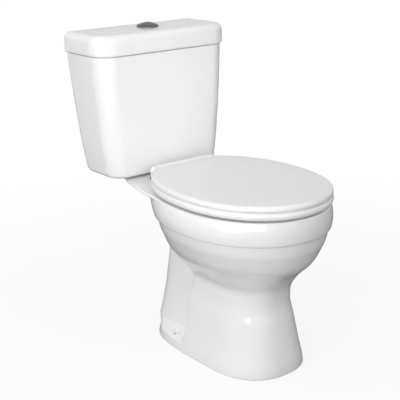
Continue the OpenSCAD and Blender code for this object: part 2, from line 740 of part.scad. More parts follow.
// sealing disc and overflow tube lift together; the ear takes the lift link
tube_top = tank_top - 49;
lever_z = tank_top - 12; // pivot of the two flush levers
lever_tilt = 18;
lever_off = 4.5; // each lever's offset from the valve centre
rod_x = 10.5;
link_x = 24;
ear_z = tank_top - 93;
module overflow_tube() {
  color(plastic_white)
    difference() {
      union() {
        at(0, valve_d, seat_lip + 3.2) cylinder(r = 31, h = 3.5);
        at(0, valve_d, seat_lip + 6) cylinder(r = 13.5, h = tube_top - seat_lip - 6);
        at(-link_x - 4, valve_d + lever_off, ear_z) translate([0, -4, 0]) cube([20, 8, 5]);
      }
      at(0, valve_d, seat_lip) cylinder(r = 11.5, h = 300);
      at(-link_x, valve_d + lever_off, ear_z - 1) cylinder(r = 1.8, h = 8);
    }
}
module flush_seal() {
  color(rubber)
    at(0, valve_d, seat_lip + 0.1) tube(32.5, 14, 3);
}
// height of a peg of radius r held off a lever by the lever's tilt: x along it, s above or below
function peg_z(pivot, x, r, tilt, s) = pivot + x * tan(tilt) + s * (2.5 + r + body_gap) / cos(tilt);
module lift_link() {
  z = peg_z(lever_z, -link_x, 2, lever_tilt, 1);
  color(plastic_white) {
    at(-link_x, valve_d + lever_off, ear_z - 4) cylinder(r = 1.8, h = z - ear_z + 4);
    at(-link_x, valve_d + lever_off, ear_z - 4.2) cylinder(r = 3.2, h = 4);
    at(-link_x, valve_d + lever_off, ear_z + 5.2) cylinder(r = 3.2, h = 3);
    at(-link_x, valve_d + lever_off, z) rotate([90, 0, 0]) translate([0, 0, -4.6]) cylinder(r = 2, h = 9.2);
  }
}
module flush_valve_tower() {
  base = cage_top - 6;
  color(blue)
    difference() {
      union() {
        at(0, valve_d, base) cylinder(r = 35.4, h = 6.1);
        at(0, valve_d, cage_top + 0.1) cylinder(r = 39.5, h = 4);
        at(0, valve_d, base) cylinder(r = 19, h = tank_top - 117 - base);
        // front and back plates carry the lever pin
        for (s = [-1, 1])
          at(0, valve_d + s * 22, cage_top + 2) {
            translate([-17.5, -1.5, 0]) cube([35, 3, tank_top - 61 - cage_top - 2]);
            translate([-8, -1.5, 100]) cube([16, 3, lever_z + 7 - cage_top - 102]);
            translate([-3, s < 0 ? -5 : -0.5, 0]) cube([6, 5.5, tank_top - 121 - cage_top]);
          }
        // ties between the plates
        for (s = [-1, 1])
          at(s * 16, valve_d, tank_top - 67) translate([-1.5, -21, 0]) cube([3, 42, 6]);
        // guide for the half flush link
        at(17, valve_d - lever_off, tank_top - 67) translate([-1, -4, 0]) cube([12, 8, 5]);
      }
      at(0, valve_d, base - 1) cylinder(r = 14.2, h = 140);
      at(0, valve_d - 30, lever_z) rotate([90, 0, 0]) translate([0, 0, -10]) cylinder(r = 2.5, h = 80);
      at(link_x, valve_d - lever_off, tank_top - 77) cylinder(r = 2.1, h = 30);
    }
}
module lever_pin() {
  color(chrome)
    at(0, valve_d, lever_z) rotate([90, 0, 0]) translate([0, 0, -24.5]) cylinder(r = 2.5, h = 49);
}
// a button rod pushes one end down, the forked end lifts a link
module flush_lever() {
  difference() {
    union() {
      rotate([90, 0, 0]) translate([0, 0, -4.1]) cylinder(r = 5, h = 8.2);
      translate([0, -4.1, -2.5]) cube([15, 8.2, 5]);
      for (s = [-1, 1])
        translate([-28.5, s * 3.3 - 0.9, -2.5]) cube([28.5, 1.8, 5]);
    }
    rotate([90, 0, 0]) translate([0, 0, -10]) cylinder(r = 2.5 + fit_gap, h = 20);
  }
}
module full_flush_lever() {
  color(plastic_white)
    at(0, valve_d + lever_off, lever_z) rotate([0, -lever_tilt, 0]) flush_lever();
}
module half_flush_lever() {
  color(blue)
    at(0, valve_d - lever_off, lever_z) rotate([0, lever_tilt, 0]) mirror([1, 0, 0]) flush_lever();
}
half_float_z = tank_top - 157;
module half_flush_link() {
  z = peg_z(lever_z, -link_x, 2, lever_tilt, 1);
  color(plastic_white) {
    at(link_x, valve_d - lever_off, half_float_z - 4) cylinder(r = 1.8, h = z - half_float_z + 4);
    at(link_x, valve_d - lever_off, half_float_z - 4.2) cylinder(r = 3.2, h = 4);
    at(link_x, valve_d - lever_off, z) rotate([90, 0, 0]) translate([0, 0, -4.6]) cylinder(r = 2, h = 9.2);
  }
}
module half_flush_float() {
  color(plastic_white)
    difference() {
      at(29, valve_d - lever_off, half_float_z) cylinder(r = 9, h = 42);
      at(link_x, valve_d - lever_off, half_float_z - 1) cylinder(r = 1.8, h = 50);
    }
}

// ---- push buttons ----
bezel_r = bezel_diameter / 2;
sleeve_r = 19.6;
sleeve_bore = 17.8;
sleeve_bottom = lid_top - 36;
button_under = lid_top - 7;
button_dome = lid_top + 11;
split_x = -3;
module button_bezel() {
  color(chrome)
    at(0, valve_d, 0)
      difference() {
        rotate_extrude()
          polygon([
            [0, sleeve_bottom], [sleeve_r, sleeve_bottom], [sleeve_r, lid_top + 0.2],
            [bezel_r, lid_top + 0.2], [bezel_r, lid_top + 1], [bezel_r - 0.7, lid_top + 2.4],
            [bezel_r - 2.4, lid_top + 4.1], [bezel_r - 4.8, lid_top + 5.6], [bezel_r - 7.6, lid_top + 6.8],
            [sleeve_bore + 1, lid_top + 7.5], [sleeve_bore + 0.3, lid_top + 7.4], [sleeve_bore, lid_top + 6.9],
            [sleeve_bore, sleeve_bottom + 3], [0, sleeve_bottom + 3]
          ]);
        for (s = [-1, 1])
          translate([s * rod_x, -s * lever_off, sleeve_bottom - 1]) cylinder(r = 3.8, h = 6);
      }
}
module button_nut() {
  color(plastic_white)
    at(0, valve_d, lid_under - 9.2)
      difference() {
        cylinder(r = 27, h = 9, $fn = 12);
        translate([0, 0, -1]) cylinder(r = sleeve_r, h = 12);
      }
}
// dome profile of both buttons, out from the centre
function dome_z(r) = button_dome - 3.4 * pow(r / 17.5, 2);
module button_body(s) {
  difference() {
    union() {
      intersection() {
        at(0, valve_d, 0)
          rotate_extrude()
            polygon(concat(
              [[0, button_under], [17.2, button_under], [17.45, button_under + 1], [17.45, dome_z(17.45) - 1]],
              [for (r = [16.9, 15, 12.5, 9.5, 6, 3, 0]) [r, dome_z(r)]]
            ));
        translate([s > 0 ? split_x + 0.3 : -40, wall_y - valve_d - 30, button_under - 5])
          cube([s > 0 ? 40 : 40 + split_x - 0.3, 60, 40]);
      }
      at(s * rod_x, valve_d + s * lever_off, sleeve_bottom - 2)
        cylinder(r = 3.6, h = button_under - sleeve_bottom + 3);
    }
    at(s * rod_x, valve_d + s * lever_off, sleeve_bottom - 3) cylinder(r = 1.5, h = 11);
  }
}
module full_flush_button() {
  color(chrome) button_body(1);
}
module half_flush_button() {
  color(chrome) button_body(-1);
}
module button_rod(s) {
  z = peg_z(lever_z, rod_x, 3, lever_tilt, 1) + 0.1;
  color(plastic_white)
    at(s * rod_x, valve_d + s * lever_off, z) {
      cylinder(r = 3, h = sleeve_bottom - 2.1 - z);
      sphere(r = 3);
      cylinder(r = 1.5, h = sleeve_bottom + 6 - z);
    }
}
module full_flush_rod() {
  button_rod(1);
}
module half_flush_rod() {
  button_rod(-1);
}
// coil spring standing on z = 0
module coil(r, wire, h, turns) {
  steps = 12;
  n = turns * steps;
  skin([
    for (i = [0:n])
      let (a = 360 * i / steps, z = wire + (h - 2 * wire) * i / n)
      [for (k = [0:5])
          let (b = -60 * k, q = r + wire * cos(b)) [q * cos(a), q * sin(a), z + wire * sin(b)]]
  ]);
}
module button_spring(s) {
  color(chrome)
    at(s * rod_x, valve_d + s * lever_off, sleeve_bottom + 3.1)
      coil(4.9, 0.6, button_under - sleeve_bottom - 3.2, 5);
}
module full_button_spring() {
  button_spring(1);
}
module half_button_spring() {
  button_spring(-1);
}

// ---- fill valve ----
riser_z = valve_flange + 4;
float_z = tank_top - 157;
float_r = 26;
head_z = tank_top - 75;
arm_z = tank_top - 27; // pivot of the float arm
arm_x = fill_valve_offset - 12;
arm_reach = 36;
arm_tilt = 11;
tail_end = tank_bottom - 44; // lower end of the threaded inlet tail
shank_r = 10.9; // shank in the tank floor, above the tail
module fill_valve_shank() {
  color(plastic_white)
    difference() {
      union() {
        at(fill_valve_offset, valve_d, tail_end) cylinder(d = inlet_thread, h = 31);
        at(fill_valve_offset, valve_d, tail_end + 30) cylinder(r = 9.8, h = 3);
        at(fill_valve_offset, valve_d, tail_end + 32) cylinder(r = shank_r, h = valve_flange - tail_end - 31);
        at(fill_valve_offset, valve_d, valve_flange) cylinder(r = 17, h = 4);
        at(fill_valve_offset, valve_d, valve_flange) cylinder(r = 10, h = 14);
      }
      at(fill_valve_offset, valve_d, tail_end - 8) cylinder(r = 6, h = 100);
    }
}
module fill_valve_washer() {
  color(rubber)
    at(fill_valve_offset, valve_d, tank_floor + 0.1) tube(16, shank_r + fit_gap, 2.6);
}
module fill_valve_nut() {
  color(plastic_white)
    at(fill_valve_offset, valve_d, tank_bottom - 9.2)
      difference() {
        cylinder(r = 17, h = 9, $fn = 6);
        translate([0, 0, -1]) cylinder(r = shank_r, h = 12);
      }
}
module inlet_filter() {
  color(plastic_white)
    at(fill_valve_offset, valve_d, tail_end + 2)
      difference() {
        cylinder(r = 6, h = 24);
        translate([0, 0, -1]) cylinder(r = 4.6, h = 23.5);
      }
}
module fill_valve_riser() {
  color(plastic_white)
    difference() {
      union() {
        at(fill_valve_offset, valve_d, riser_z + 0.1) cylinder(r = 14, h = 15);
        at(fill_valve_offset, valve_d, riser_z + 10) cylinder(r = 9, h = head_z - riser_z - 10);
        at(fill_valve_offset, valve_d, float_z - 4.3) cylinder(r = 12, h = 4);
      }
      at(fill_valve_offset, valve_d, riser_z - 1) cylinder(r = 10, h = 11.2);
      at(fill_valve_offset, valve_d, riser_z) cylinder(r = 5, h = 300);
    }
}
module fill_valve_head() {
  color(blue)
    difference() {
      union() {
        at(fill_valve_offset, valve_d, head_z + 0.1) cylinder(r = 17, h = 28);
        at(fill_valve_offset, valve_d, head_z + 26) cylinder(r = 12.5, h = 12);
        for (s = [-1, 1])
          at(arm_x, valve_d + s * 7, head_z + 26) {
            translate([-6, -1.5, 0]) cube([14, 3, arm_z - head_z - 26]);
            translate([0, 1.5, arm_z - head_z - 26]) rotate([90, 0, 0]) cylinder(r = 6, h = 3);
          }
      }
      at(arm_x, valve_d, arm_z) rotate([90, 0, 0]) translate([0, 0, -20]) cylinder(r = 2, h = 40);
      at(fill_valve_offset, valve_d, head_z - 1) cylinder(r = 5, h = 20);
    }
}
module float_arm() {
  color(plastic_white)
    at(arm_x, valve_d, arm_z)
      rotate([0, arm_tilt, 0])
        difference() {
          union() {
            rotate([90, 0, 0]) translate([0, 0, -5]) cylinder(r = 4.5, h = 10);
            translate([0, -5, -2.5]) cube([arm_reach - 6, 10, 5]);
            for (s = [-1, 1])
              translate([arm_reach - 8, s * 3.6 - 1.4, -2.5]) cube([13, 2.8, 5]);
          }
          rotate([90, 0, 0]) translate([0, 0, -10]) cylinder(r = 2 + fit_gap, h = 20);
        }
}
module float_arm_pin() {
  color(chrome)
    at(arm_x, valve_d, arm_z) rotate([90, 0, 0]) translate([0, 0, -9.5]) cylinder(r = 2, h = 19);
}
module float_cup() {
  color(plastic_white)
    difference() {
      union() {
        at(fill_valve_offset, valve_d, float_z) cylinder(r = float_r, h = 50);
        at(fill_valve_offset, valve_d, float_z + 44) translate([0, -4, 0]) cube([float_r + 4, 8, 6]);
      }
      at(fill_valve_offset, valve_d, float_z - 1) cylinder(r = 9.4, h = 60);
      at(fill_valve_offset, valve_d, float_z - 1) tube(float_r - 2.5, 12, 40);
      at(arm_x + arm_reach, valve_d, float_z + 30) cylinder(r = 1.6, h = 30);
    }
}
module float_link() {
  z = peg_z(arm_z, arm_reach, 2, -arm_tilt, -1);
  color(plastic_white)
    at(arm_x + arm_reach, valve_d, 0) {
      translate([0, 0, float_z + 40]) cylinder(r = 1.6, h = z + 12 - float_z - 40);
      translate([0, 0, float_z + 50.1]) cylinder(r = 3, h = 3);
      translate([0, 0, z]) rotate([90, 0, 0]) translate([0, 0, -4.8]) cylinder(r = 2, h = 9.6);
    }
}

// ---- pieces drawn ----
pan();
cistern_tank();
cistern_lid();
seat_ring();
seat_cover();
ring_buffers();
cover_buffers();
left_hinge_post();
right_hinge_post();
left_hinge_pin();
right_hinge_pin();
seat_bolts();
seat_bolt_washers();
seat_wing_nuts();
coupling_gasket();
coupling_bolts();
coupling_seals();
coupling_washers();
coupling_wing_nuts();
flush_valve_base();
flush_valve_washer();
flush_valve_nut();
flush_valve_tower();
overflow_tube();
flush_seal();
lift_link();
lever_pin();
full_flush_lever();
half_flush_lever();
half_flush_link();
half_flush_float();
button_bezel();
button_nut();
full_flush_button();
half_flush_button();
full_button_spring();
half_button_spring();
full_flush_rod();
half_flush_rod();
fill_valve_shank();
fill_valve_washer();
fill_valve_nut();
inlet_filter();
fill_valve_riser();
fill_valve_head();
float_arm();
float_arm_pin();
float_cup();
float_link();
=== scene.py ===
import json
import math

import bmesh
import bpy
import numpy as np
from mathutils import Matrix, Vector


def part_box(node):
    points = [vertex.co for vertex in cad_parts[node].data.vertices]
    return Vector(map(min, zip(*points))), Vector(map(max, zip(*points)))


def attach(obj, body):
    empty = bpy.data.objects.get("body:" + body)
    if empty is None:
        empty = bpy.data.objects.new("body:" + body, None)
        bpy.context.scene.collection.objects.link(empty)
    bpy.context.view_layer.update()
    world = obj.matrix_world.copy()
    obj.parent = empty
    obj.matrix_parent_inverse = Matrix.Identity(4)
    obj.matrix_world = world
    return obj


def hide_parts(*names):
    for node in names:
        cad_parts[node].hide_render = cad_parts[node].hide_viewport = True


# Close coupled toilet: china pan, cistern and lid, hinged seat and cover, dual flush button.
# Sizes are in millimetres, d is the distance out from the wall, and everything is built in place.

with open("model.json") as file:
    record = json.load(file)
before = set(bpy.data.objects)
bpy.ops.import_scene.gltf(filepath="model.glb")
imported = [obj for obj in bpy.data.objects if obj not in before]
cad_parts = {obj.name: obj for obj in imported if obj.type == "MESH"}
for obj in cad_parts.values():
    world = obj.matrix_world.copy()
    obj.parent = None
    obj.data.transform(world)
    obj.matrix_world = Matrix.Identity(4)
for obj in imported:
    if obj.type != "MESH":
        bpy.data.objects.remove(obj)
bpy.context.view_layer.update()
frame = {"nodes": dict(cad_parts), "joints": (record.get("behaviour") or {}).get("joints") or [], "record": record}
cadNodes = frame["nodes"]
print("frame loaded:", len(cadNodes), "nodes")

mm = 0.001


def nodeBox(node):
    # lowest and highest corner of a CAD node
    return [[round(value / mm, 1) for value in corner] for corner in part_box(node)]


panBox, tankBox, lidBox, ringBox = (
    nodeBox(node) for node in ("pan", "cistern_tank", "cistern_lid", "seat_ring")
)
hingePlace = next(joint["pos_m"] for joint in frame["joints"] if joint["name"] == "seat_hinge")
hingeY, hingeZ = (round(value / mm, 1) for value in hingePlace[1:])

wallY = lidBox[1][1]  # the back of the lid stands on the wall's line
eggD = 445.0  # widest line of the bowl and the seat
eggY = wallY - eggD
hingeD = wallY - hingeY
valveD = 84.0  # line of the button, the flush valve and the coupling bolts
couplingX = 70.0  # coupling bolts, out from the middle
sharpAngle = 38  # degrees between faces, above which their edge stays sharp
leastSine = 0.05  # outlines that lie only behind the widest line end at this sine
tiny = 0.001  # keeps divisions off zero
faceClearance = 0.01  # keeps the faces of joined solids off each other


def mix(a, b, t):
    return a + (b - a) * t


def ease(t):
    t = np.clip(t, 0.0, 1.0)
    return t * t * (3 - 2 * t)


def fade(z, start, reach, low, high):
    # low up to the start, high once z is reach past it, and a smooth change between them
    return mix(low, high, ease((z - start) / reach))


def softMax(a, b, k):
    near = np.clip(k - np.abs(a - b), 0.0, None) / k
    return np.maximum(a, b) + near * near * k * 0.25


def softMin(a, b, k):
    return -softMax(-np.asarray(a), -np.asarray(b), k)


def along(stations, where, column):
    # smooth curve through one column of a table of stations
    s = np.array(stations, float)
    x, v = s[:, 0], s[:, column]
    step = np.diff(x)
    chord = np.diff(v) / step
    slope = np.empty(len(x))
    slope[0], slope[-1] = chord[0], chord[-1]
    slope[1:-1] = (chord[1:] * step[:-1] + chord[:-1] * step[1:]) / (step[:-1] + step[1:])
    w = np.clip(np.asarray(where, float), x[0], x[-1])
    i = np.clip(np.searchsorted(x, w, "right") - 1, 0, len(x) - 2)
    h = step[i]
    t = (w - x[i]) / h
    t2, t3 = t * t, t * t * t
    return (
        (2 * t3 - 3 * t2 + 1) * v[i] + (t3 - 2 * t2 + t) * h * slope[i]
        + (3 * t2 - 2 * t3) * v[i + 1] + (t3 - t2) * h * slope[i + 1]
    )


def throughRows(points, gap):
    # more rows between the given ones, on a smooth curve, no further apart than gap
    p = np.array(points, float)
    length = np.sqrt((np.diff(p, axis=0) ** 2).sum(1))
    keys = np.concatenate([[0], np.cumsum(np.sqrt(length))])
    table = np.column_stack([keys, p])
    where = [0.0]
    for i, far in enumerate(length):
        count = max(1, math.ceil(far / gap))
        where += list(keys[i] + (keys[i + 1] - keys[i]) * np.arange(1, count + 1) / count)
    return np.column_stack([along(table, where, c + 1) for c in range(p.shape[1])])


def levels(runs):
    # heights from runs of (from, to, step)
    return np.concatenate([np.arange(*run) for run in runs])


def between(a, b, count):
    # evenly spaced values from a to b, without the two ends
    return mix(a, b, np.linspace(0, 1, count + 2)[1:-1])


def raised(rows, base):
    # rows of (height above the base, inset) at their real height
    return [(base + height, inset) for height, inset in rows]


def turnSteps(first, step):
    # angles from the first one up to a quarter turn
    return np.radians(range(first, 91, step))


def newObject(name, data):
    item = bpy.data.objects.new(name, data)
    bpy.context.scene.collection.objects.link(item)
    return item


def newPiece(name, verts, faces):
    mesh = bpy.data.meshes.new(name)
    mesh.from_pydata([tuple(v) for v in np.asarray(verts) * mm], [], faces)
    mesh.update()
    return newObject(name, mesh)


def outward(piece):
    work = bmesh.new()
    work.from_mesh(piece.data)
    bmesh.ops.recalc_face_normals(work, faces=work.faces)
    work.to_mesh(piece.data)
    work.free()
    return piece


def loft(name, rows, ring=False):
    # closed skin over rows of points; the two ends are fans round a centre point, or meet when ring
    rows = np.array(rows, float)
    m, n = rows.shape[:2]
    verts = rows.reshape(-1, 3)
    faces = []
    for j in range(m if ring else m - 1):
        a, b = j * n, ((j + 1) % m) * n
        faces += [(a + i, a + (i + 1) % n, b + (i + 1) % n, b + i) for i in range(n)]
    if not ring:
        first, last = len(verts), len(verts) + 1
        verts = np.vstack([verts, rows[0].mean(0), rows[-1].mean(0)])
        faces += [((i + 1) % n, i, first) for i in range(n)]
        faces += [((m - 1) * n + i, (m - 1) * n + (i + 1) % n, last) for i in range(n)]
    return outward(newPiece(name, verts, faces))


def fullTurn(steps):
    return np.linspace(0, 2 * math.pi, steps, endpoint=False)


def turned(name, profile, centre, steps=64):
    # solid of revolution about a vertical axis at (x, d); the profile is (radius, height)
    core = 0.5  # radius where the end faces close on the axis
    closed = [(core, profile[0][1]), *profile, (core, profile[-1][1])]
    x, y = centre[0], wallY - centre[1]
    rows = [[(x + r * math.cos(a), y + r * math.sin(a), z) for a in fullTurn(steps)] for r, z in closed]
    return loft(name, rows)


def block(name, low, high):
    corners = [(x, y, z) for x in (low[0], high[0]) for y in (low[1], high[1]) for z in (low[2], high[2])]
    faces = [(0, 1, 3, 2), (4, 6, 7, 5), (0, 4, 5, 1), (2, 3, 7, 6), (0, 2, 6, 4), (1, 5, 7, 3)]
    return newPiece(name, corners, faces)


def bar(name, a, b, radius, steps=48):
    # round bar from a to b
    a, b = np.array(a, float), np.array(b, float)
    axis = (b - a) / np.linalg.norm(b - a)
    side = np.cross(axis, [0, 0, 1.0] if abs(axis[2]) < 0.9 else [1.0, 0, 0])
    side /= np.linalg.norm(side)
    up = np.cross(axis, side)
    circle = [radius * (math.cos(t) * side + math.sin(t) * up) for t in fullTurn(steps)]
    return loft(name, [[end + out for out in circle] for end in (a, b)])


def pipe(name, path, radius, steps=36):
    # round pipe in the middle plane, along a path of (d, height)
    heading = np.gradient(path, axis=0)
    heading /= np.linalg.norm(heading, axis=1)[:, None]
    rows = []
    for (d, z), (forward, up) in zip(path, heading):
        row = []
        for t in fullTurn(steps):
            across, out = radius * math.cos(t), radius * math.sin(t)
            row.append((across, wallY - d - out * up, z - out * forward))
        rows.append(row)
    return loft(name, rows)


def joined(pieces):
    bpy.ops.object.select_all(action="DESELECT")
    for piece in pieces:
        piece.select_set(True)
    bpy.context.view_layer.objects.active = pieces[0]
    bpy.ops.object.join()
    return pieces[0]


def shaped(piece, operation, tool):
    # exact boolean, applied; the tool is used up
    modifier = piece.modifiers.new("shape", "BOOLEAN")
    modifier.operation, modifier.solver, modifier.object = operation, "EXACT", tool
    graph = bpy.context.evaluated_depsgraph_get()
    mesh = bpy.data.meshes.new_from_object(piece.evaluated_get(graph))
    piece.modifiers.clear()
    piece.data = mesh
    bpy.data.objects.remove(tool)
    return piece


def smoothShade(piece, angle=sharpAngle):
    mesh = piece.data
    mesh.polygons.foreach_set("use_smooth", [True] * len(mesh.polygons))
    mesh.set_sharp_from_angle(angle=math.radians(angle))
    mesh.update()


# Some tables below give (start, over how far, value below, value above) for a fade with height.
pan = {
    "wall": 13.0,
    "backWallLess": 5,  # how much thinner the foot's wall is at the back
    "top": panBox[1][2],
    "deckUnder": 384.0,
    "edgeRadius": 4.6,  # round edge of the deck and the rim
    "footRadius": 3,  # round edge of the foot on the floor
    "footChamfer": 0.6,
    "sharpest": 62,  # degrees between faces that still shade as one
    # step in under the rim band, round above it and fading into the bowl below it
    "groove": {"depth": 4.4, "z": 350.5, "round": 5.0, "flat": 1.5, "fade": 34.0},
    "stepD": 347.0,  # front edge of the side recess
    # height, half width, reach forward, reach back
    "stations": [
        (0, 118, 156, 276), (12, 116, 156, 275), (60, 105, 148, 258), (120, 95, 136, 224),
        (175, 86, 126, 182), (212, 89, 135, 170), (240, 114, 155, 192), (270, 140, 187, 208),
        (310, 163, 209, 214), (349, 182, 224, 224), (375, 187, 228, 236), (400, 183, 226, 248),
        (408, 180, 224, 252),
    ],
    # height, half width, distance of its back from the wall
    "housing": [
        (0, 91, 186), (10, 89, 187), (60, 77, 192), (130, 68, 205), (185, 66, 215), (240, 66, 226),
        (300, 66, 238),
    ],
    # squareness of the outlines, 2 is an ellipse
    "frontPower": (190, 80, 2.5, 2.1),
    "backPower": (190, 80, 3.2, 2.3),
    "housingPower": 10,
    "footPower": 14.0,
    "rimPower": (2.1, 2.3),
    "bowlBackPower": (235, 30, 2.1, 2.3),
    # where the foot gives way to the recess, and the pedestal to the bowl: start and over how far
    "recessStart": (20, 28),
    "bowlStart": (205, 30),
    # how softly the forms run together
    "stepSoftness": (150, 55, 4.0, 18.0),
    "softness": {
        "recess": 9.0, "housing": 14.0, "horn": 16.0, "hornCorner": 14.0, "deck": 10.0, "deckCorner": 12.0,
    },
    # columns of points: degrees off the recess's two edges, marks at the deck's corner, and counts
    "offEdge": (2.5, 0.6),
    "offCorner": 0.8,
    "deckMarks": (70, 76, 78.8),
    "columns": [14, 5, 6, 4, 4, 5, 6, 4, 7, 8],
    "frontColumns": 96,
    # ceiling of the open foot: height and distance in from the wall's inside
    "footCeiling": [(139, 18), (135, 9), (126, 3), (110, 0)],
    "ceilingShares": (0.08, 0.3, 0.55, 0.8),
    # heights of the rows inside the foot, outside it and on the rim band, in runs of (from, to, step)
    "insideLevels": [(100, 49, -8), (48, 3, -3), (2, 1, -1)],
    "outsideLevels": [
        (5, 18, 3), (18, 52, 2), (54, 195, 5), (195, 240, 1.5), (240, 322, 4), (322, 350, 1.5),
    ],
    "rimLevels": [(357.5, 372, 2)],
    # distance from the wall and half width of the deck behind the bowl
    "deck": [
        (26, 95), (102, 97), (118, 108), (136, 121), (155, 130), (200, 143), (246, 156), (275, 161),
        (330, 165),
    ],
    "deckBack": 26,
    "deckTaper": (104, 36, 8.0, 34.0),  # how far the slope under the edge comes in, by d
    "deckBackTaper": 6,
    "deckFar": 700.0,  # past any point of the deck
    # underside of the deck, in shares of the way out to its edge
    "underStart": 373.0,
    "underSteps": [0.06, 0.05, 0.07, 0.08] + [0.1] * 6 + [0.07] * 2,
    # height and share of the slope under the deck's edge
    "slope": [
        (384.6, 0.96), (387, 0.82), (390.8, 0.6), (394.4, 0.42), (398, 0.24), (400.5, 0.12), (402.4, 0.03),
    ],
    "lastColumns": 396.0,  # the columns keep this height's angles above it
    "topRows": 20,
    "topCrowding": 1.5,  # above 1 the rows crowd towards the opening
    # how far back the water horn under the deck reaches at each height, and its half width
    "horn": [
        (346, 300), (350, 262), (352, 235), (354, 190), (356, 140), (358, 90), (361, 50), (368, 36),
        (378, 30),
    ],
    "hornHalf": (350, 20, 30.0, 57.0),
    # the flushing rim and the bowl, from the opening down to the sump: height, half width, forward, back
    "bowl": [
        (408, 132, 176, 137), (406, 128, 172, 133), (403, 126, 170, 131), (390, 126, 170, 131),
        (368, 126, 170, 131), (363, 127, 171, 132), (361, 130, 174, 135), (363, 134, 178, 140),
        (368, 136, 180, 142), (386, 136, 180, 142), (391, 137, 182, 144), (394, 143, 188, 152),
        (394, 158, 200, 178), (391, 165, 207, 190), (384, 168, 210, 196), (362, 167, 209, 192),
        (350, 164, 205, 178), (330, 154, 196, 150), (300, 136, 178, 116), (267, 110, 150, 93),
        (240, 86, 124, 76), (215, 63, 96, 62), (203, 54, 83, 58), (197, 50, 77, 66), (190, 46, 70, 72),
        (178, 38, 56, 66), (168, 26, 40, 50), (164, 12, 22, 34),
    ],
    "sumpEnd": (163.4, 5, 9, 14),
    # outlet, trapway and holes; a profile is (radius, height)
    "outletD": 262.0,
    "spigot": [
        (36, 150), (36, 80), (37, 77.5), (40, 76), (48.5, 76), (50.3, 75.2), (51, 73.5), (51, 10.5),
        (50.2, 8.7), (48.5, 8),
    ],
    "outletBore": [(43, 2), (43, 8), (42, 9.2), (42, 60), (25, 60), (25, 150.5)],
    "trapRadius": 24.0,
    "trapEntry": [(402, 183), (384, 184), (370, 188), (357, 199), (346, 214), (332, 238)],
    "weirRadius": 30,
    "weirZ": 240,
    "trapExit": (232, 190, 144),
    "flushHole": [(46, 372), (46, 403), (62, 403), (62, 430)],
    "couplingHole": [(13, 370), (13, 396), (5.5, 396), (5.5, 430)],
    "seatHole": [(6, 370), (6, 430)],
    "seatBolt": (77.5, 196),  # x and d
    "floorHole": [(4.5, -2), (4.5, 32.4), (5.1, 33), (11, 33), (11, 73)],
    "floorBolt": (97, 300),
    "sides": {"flushHole": 96, "couplingHole": 40, "seatHole": 24, "floorHole": 40},
    "rowGap": {"ceiling": 4, "bowl": 5, "trapway": 7},  # the greatest distance between rows
}


def eggRadius(a, w, f, b, frontPower, backPower):
    s, c = np.sin(a), np.abs(np.cos(a))
    long = np.where(s < 0, f, b)
    n = np.where(s < 0, frontPower, backPower)
    return ((c / w) ** n + (np.abs(s) / long) ** n) ** (-1 / n)


def ringPoints(a, r, z):
    z = np.broadcast_to(z, a.shape)
    return np.column_stack([r * np.cos(a), eggY + r * np.sin(a), z])


def groove(z):
    # the rim band rounds in to a step, and the bowl runs on below it without a lip
    step = pan["groove"]
    above = z - step["z"]
    if above >= step["round"]:
        return 0.0
    if above > 0:
        return step["depth"] * (1 - math.sqrt(1 - (1 - above / step["round"]) ** 2))
    return step["depth"] * (1 - ease((-above - step["flat"]) / step["fade"]))


def panRadius(z, a, inset=0.0):
    # distance of the pan's skin from the widest line at height z and angle a
    soft = pan["softness"]
    cut = inset + groove(z)
    w, f, b = (along(pan["stations"], z, column) - cut for column in (1, 2, 3))
    egg = eggRadius(a, w, f, b, fade(z, *pan["frontPower"]), fade(z, *pan["backPower"]))
    s = np.sin(a)
    behind = s > tiny
    sine = np.where(behind, s, 1.0)
    half = along(pan["housing"], z, 1) - inset
    reach = eggD - along(pan["housing"], z, 2) - max(0.0, inset - pan["backWallLess"])
    n = pan["housingPower"]
    housing = ((np.abs(np.cos(a)) / half) ** n + (sine / reach) ** n) ** (-1 / n)
    n = pan["footPower"]
    foot = (egg ** -n + (reach / sine) ** -n) ** (-1 / n)
    step = (eggD - pan["stepD"] - inset) / sine
    recess = softMax(softMin(egg, step, fade(z, *pan["stepSoftness"])), housing, soft["recess"])
    pedestal = fade(z, *pan["recessStart"], foot, recess)
    whole = fade(z, *pan["bowlStart"], pedestal, softMax(egg, housing, soft["housing"]))
    return np.where(behind, whole, egg)


def panAngles(z, inset=0.0):
    # columns crowd at the two edges of the recess and at the deck's corner
    n = fade(z, *pan["backPower"])
    w = along(pan["stations"], z, 1) - inset
    b = along(pan["stations"], z, 3) - inset
    step = eggD - pan["stepD"] - inset
    edge = math.degrees(math.atan2(step, w * (1 - min(step / b, 0.99) ** n) ** (1 / n)))
    corner = math.degrees(math.atan2(step, along(pan["housing"], z, 1) - inset))
    far, near = pan["offEdge"]
    marks = [0, edge - far, edge - near, edge + near, (edge + corner) / 2]
    marks += [corner - pan["offCorner"], corner + pan["offCorner"], *pan["deckMarks"], 90]
    spans = zip(marks, marks[1:], pan["columns"])
    quarter = np.concatenate([np.linspace(*span, endpoint=False) for span in spans])
    front = np.linspace(180, 360, pan["frontColumns"], endpoint=False)
    return np.radians(np.concatenate([quarter, [90], 180 - quarter[:0:-1], front]))


def deckRadius(a, share=0.0):
    # outline of the deck, found by halving; share takes it in along the slope under its edge
    s, c = np.sin(a), np.abs(np.cos(a))
    low, high = np.zeros_like(a), np.full_like(a, pan["deckFar"])
    for _ in range(40):
        r = (low + high) / 2
        d = eggD - r * s
        over = r * c > along(pan["deck"], d, 1) - share * fade(d, *pan["deckTaper"])
        low, high = np.where(over, low, r), np.where(over, r, high)
    back = (eggD - pan["deckBack"] - share * pan["deckBackTaper"]) / np.maximum(s, leastSine)
    return np.where(s > leastSine, softMin(low, back, pan["softness"]["deckCorner"]), 0.0)


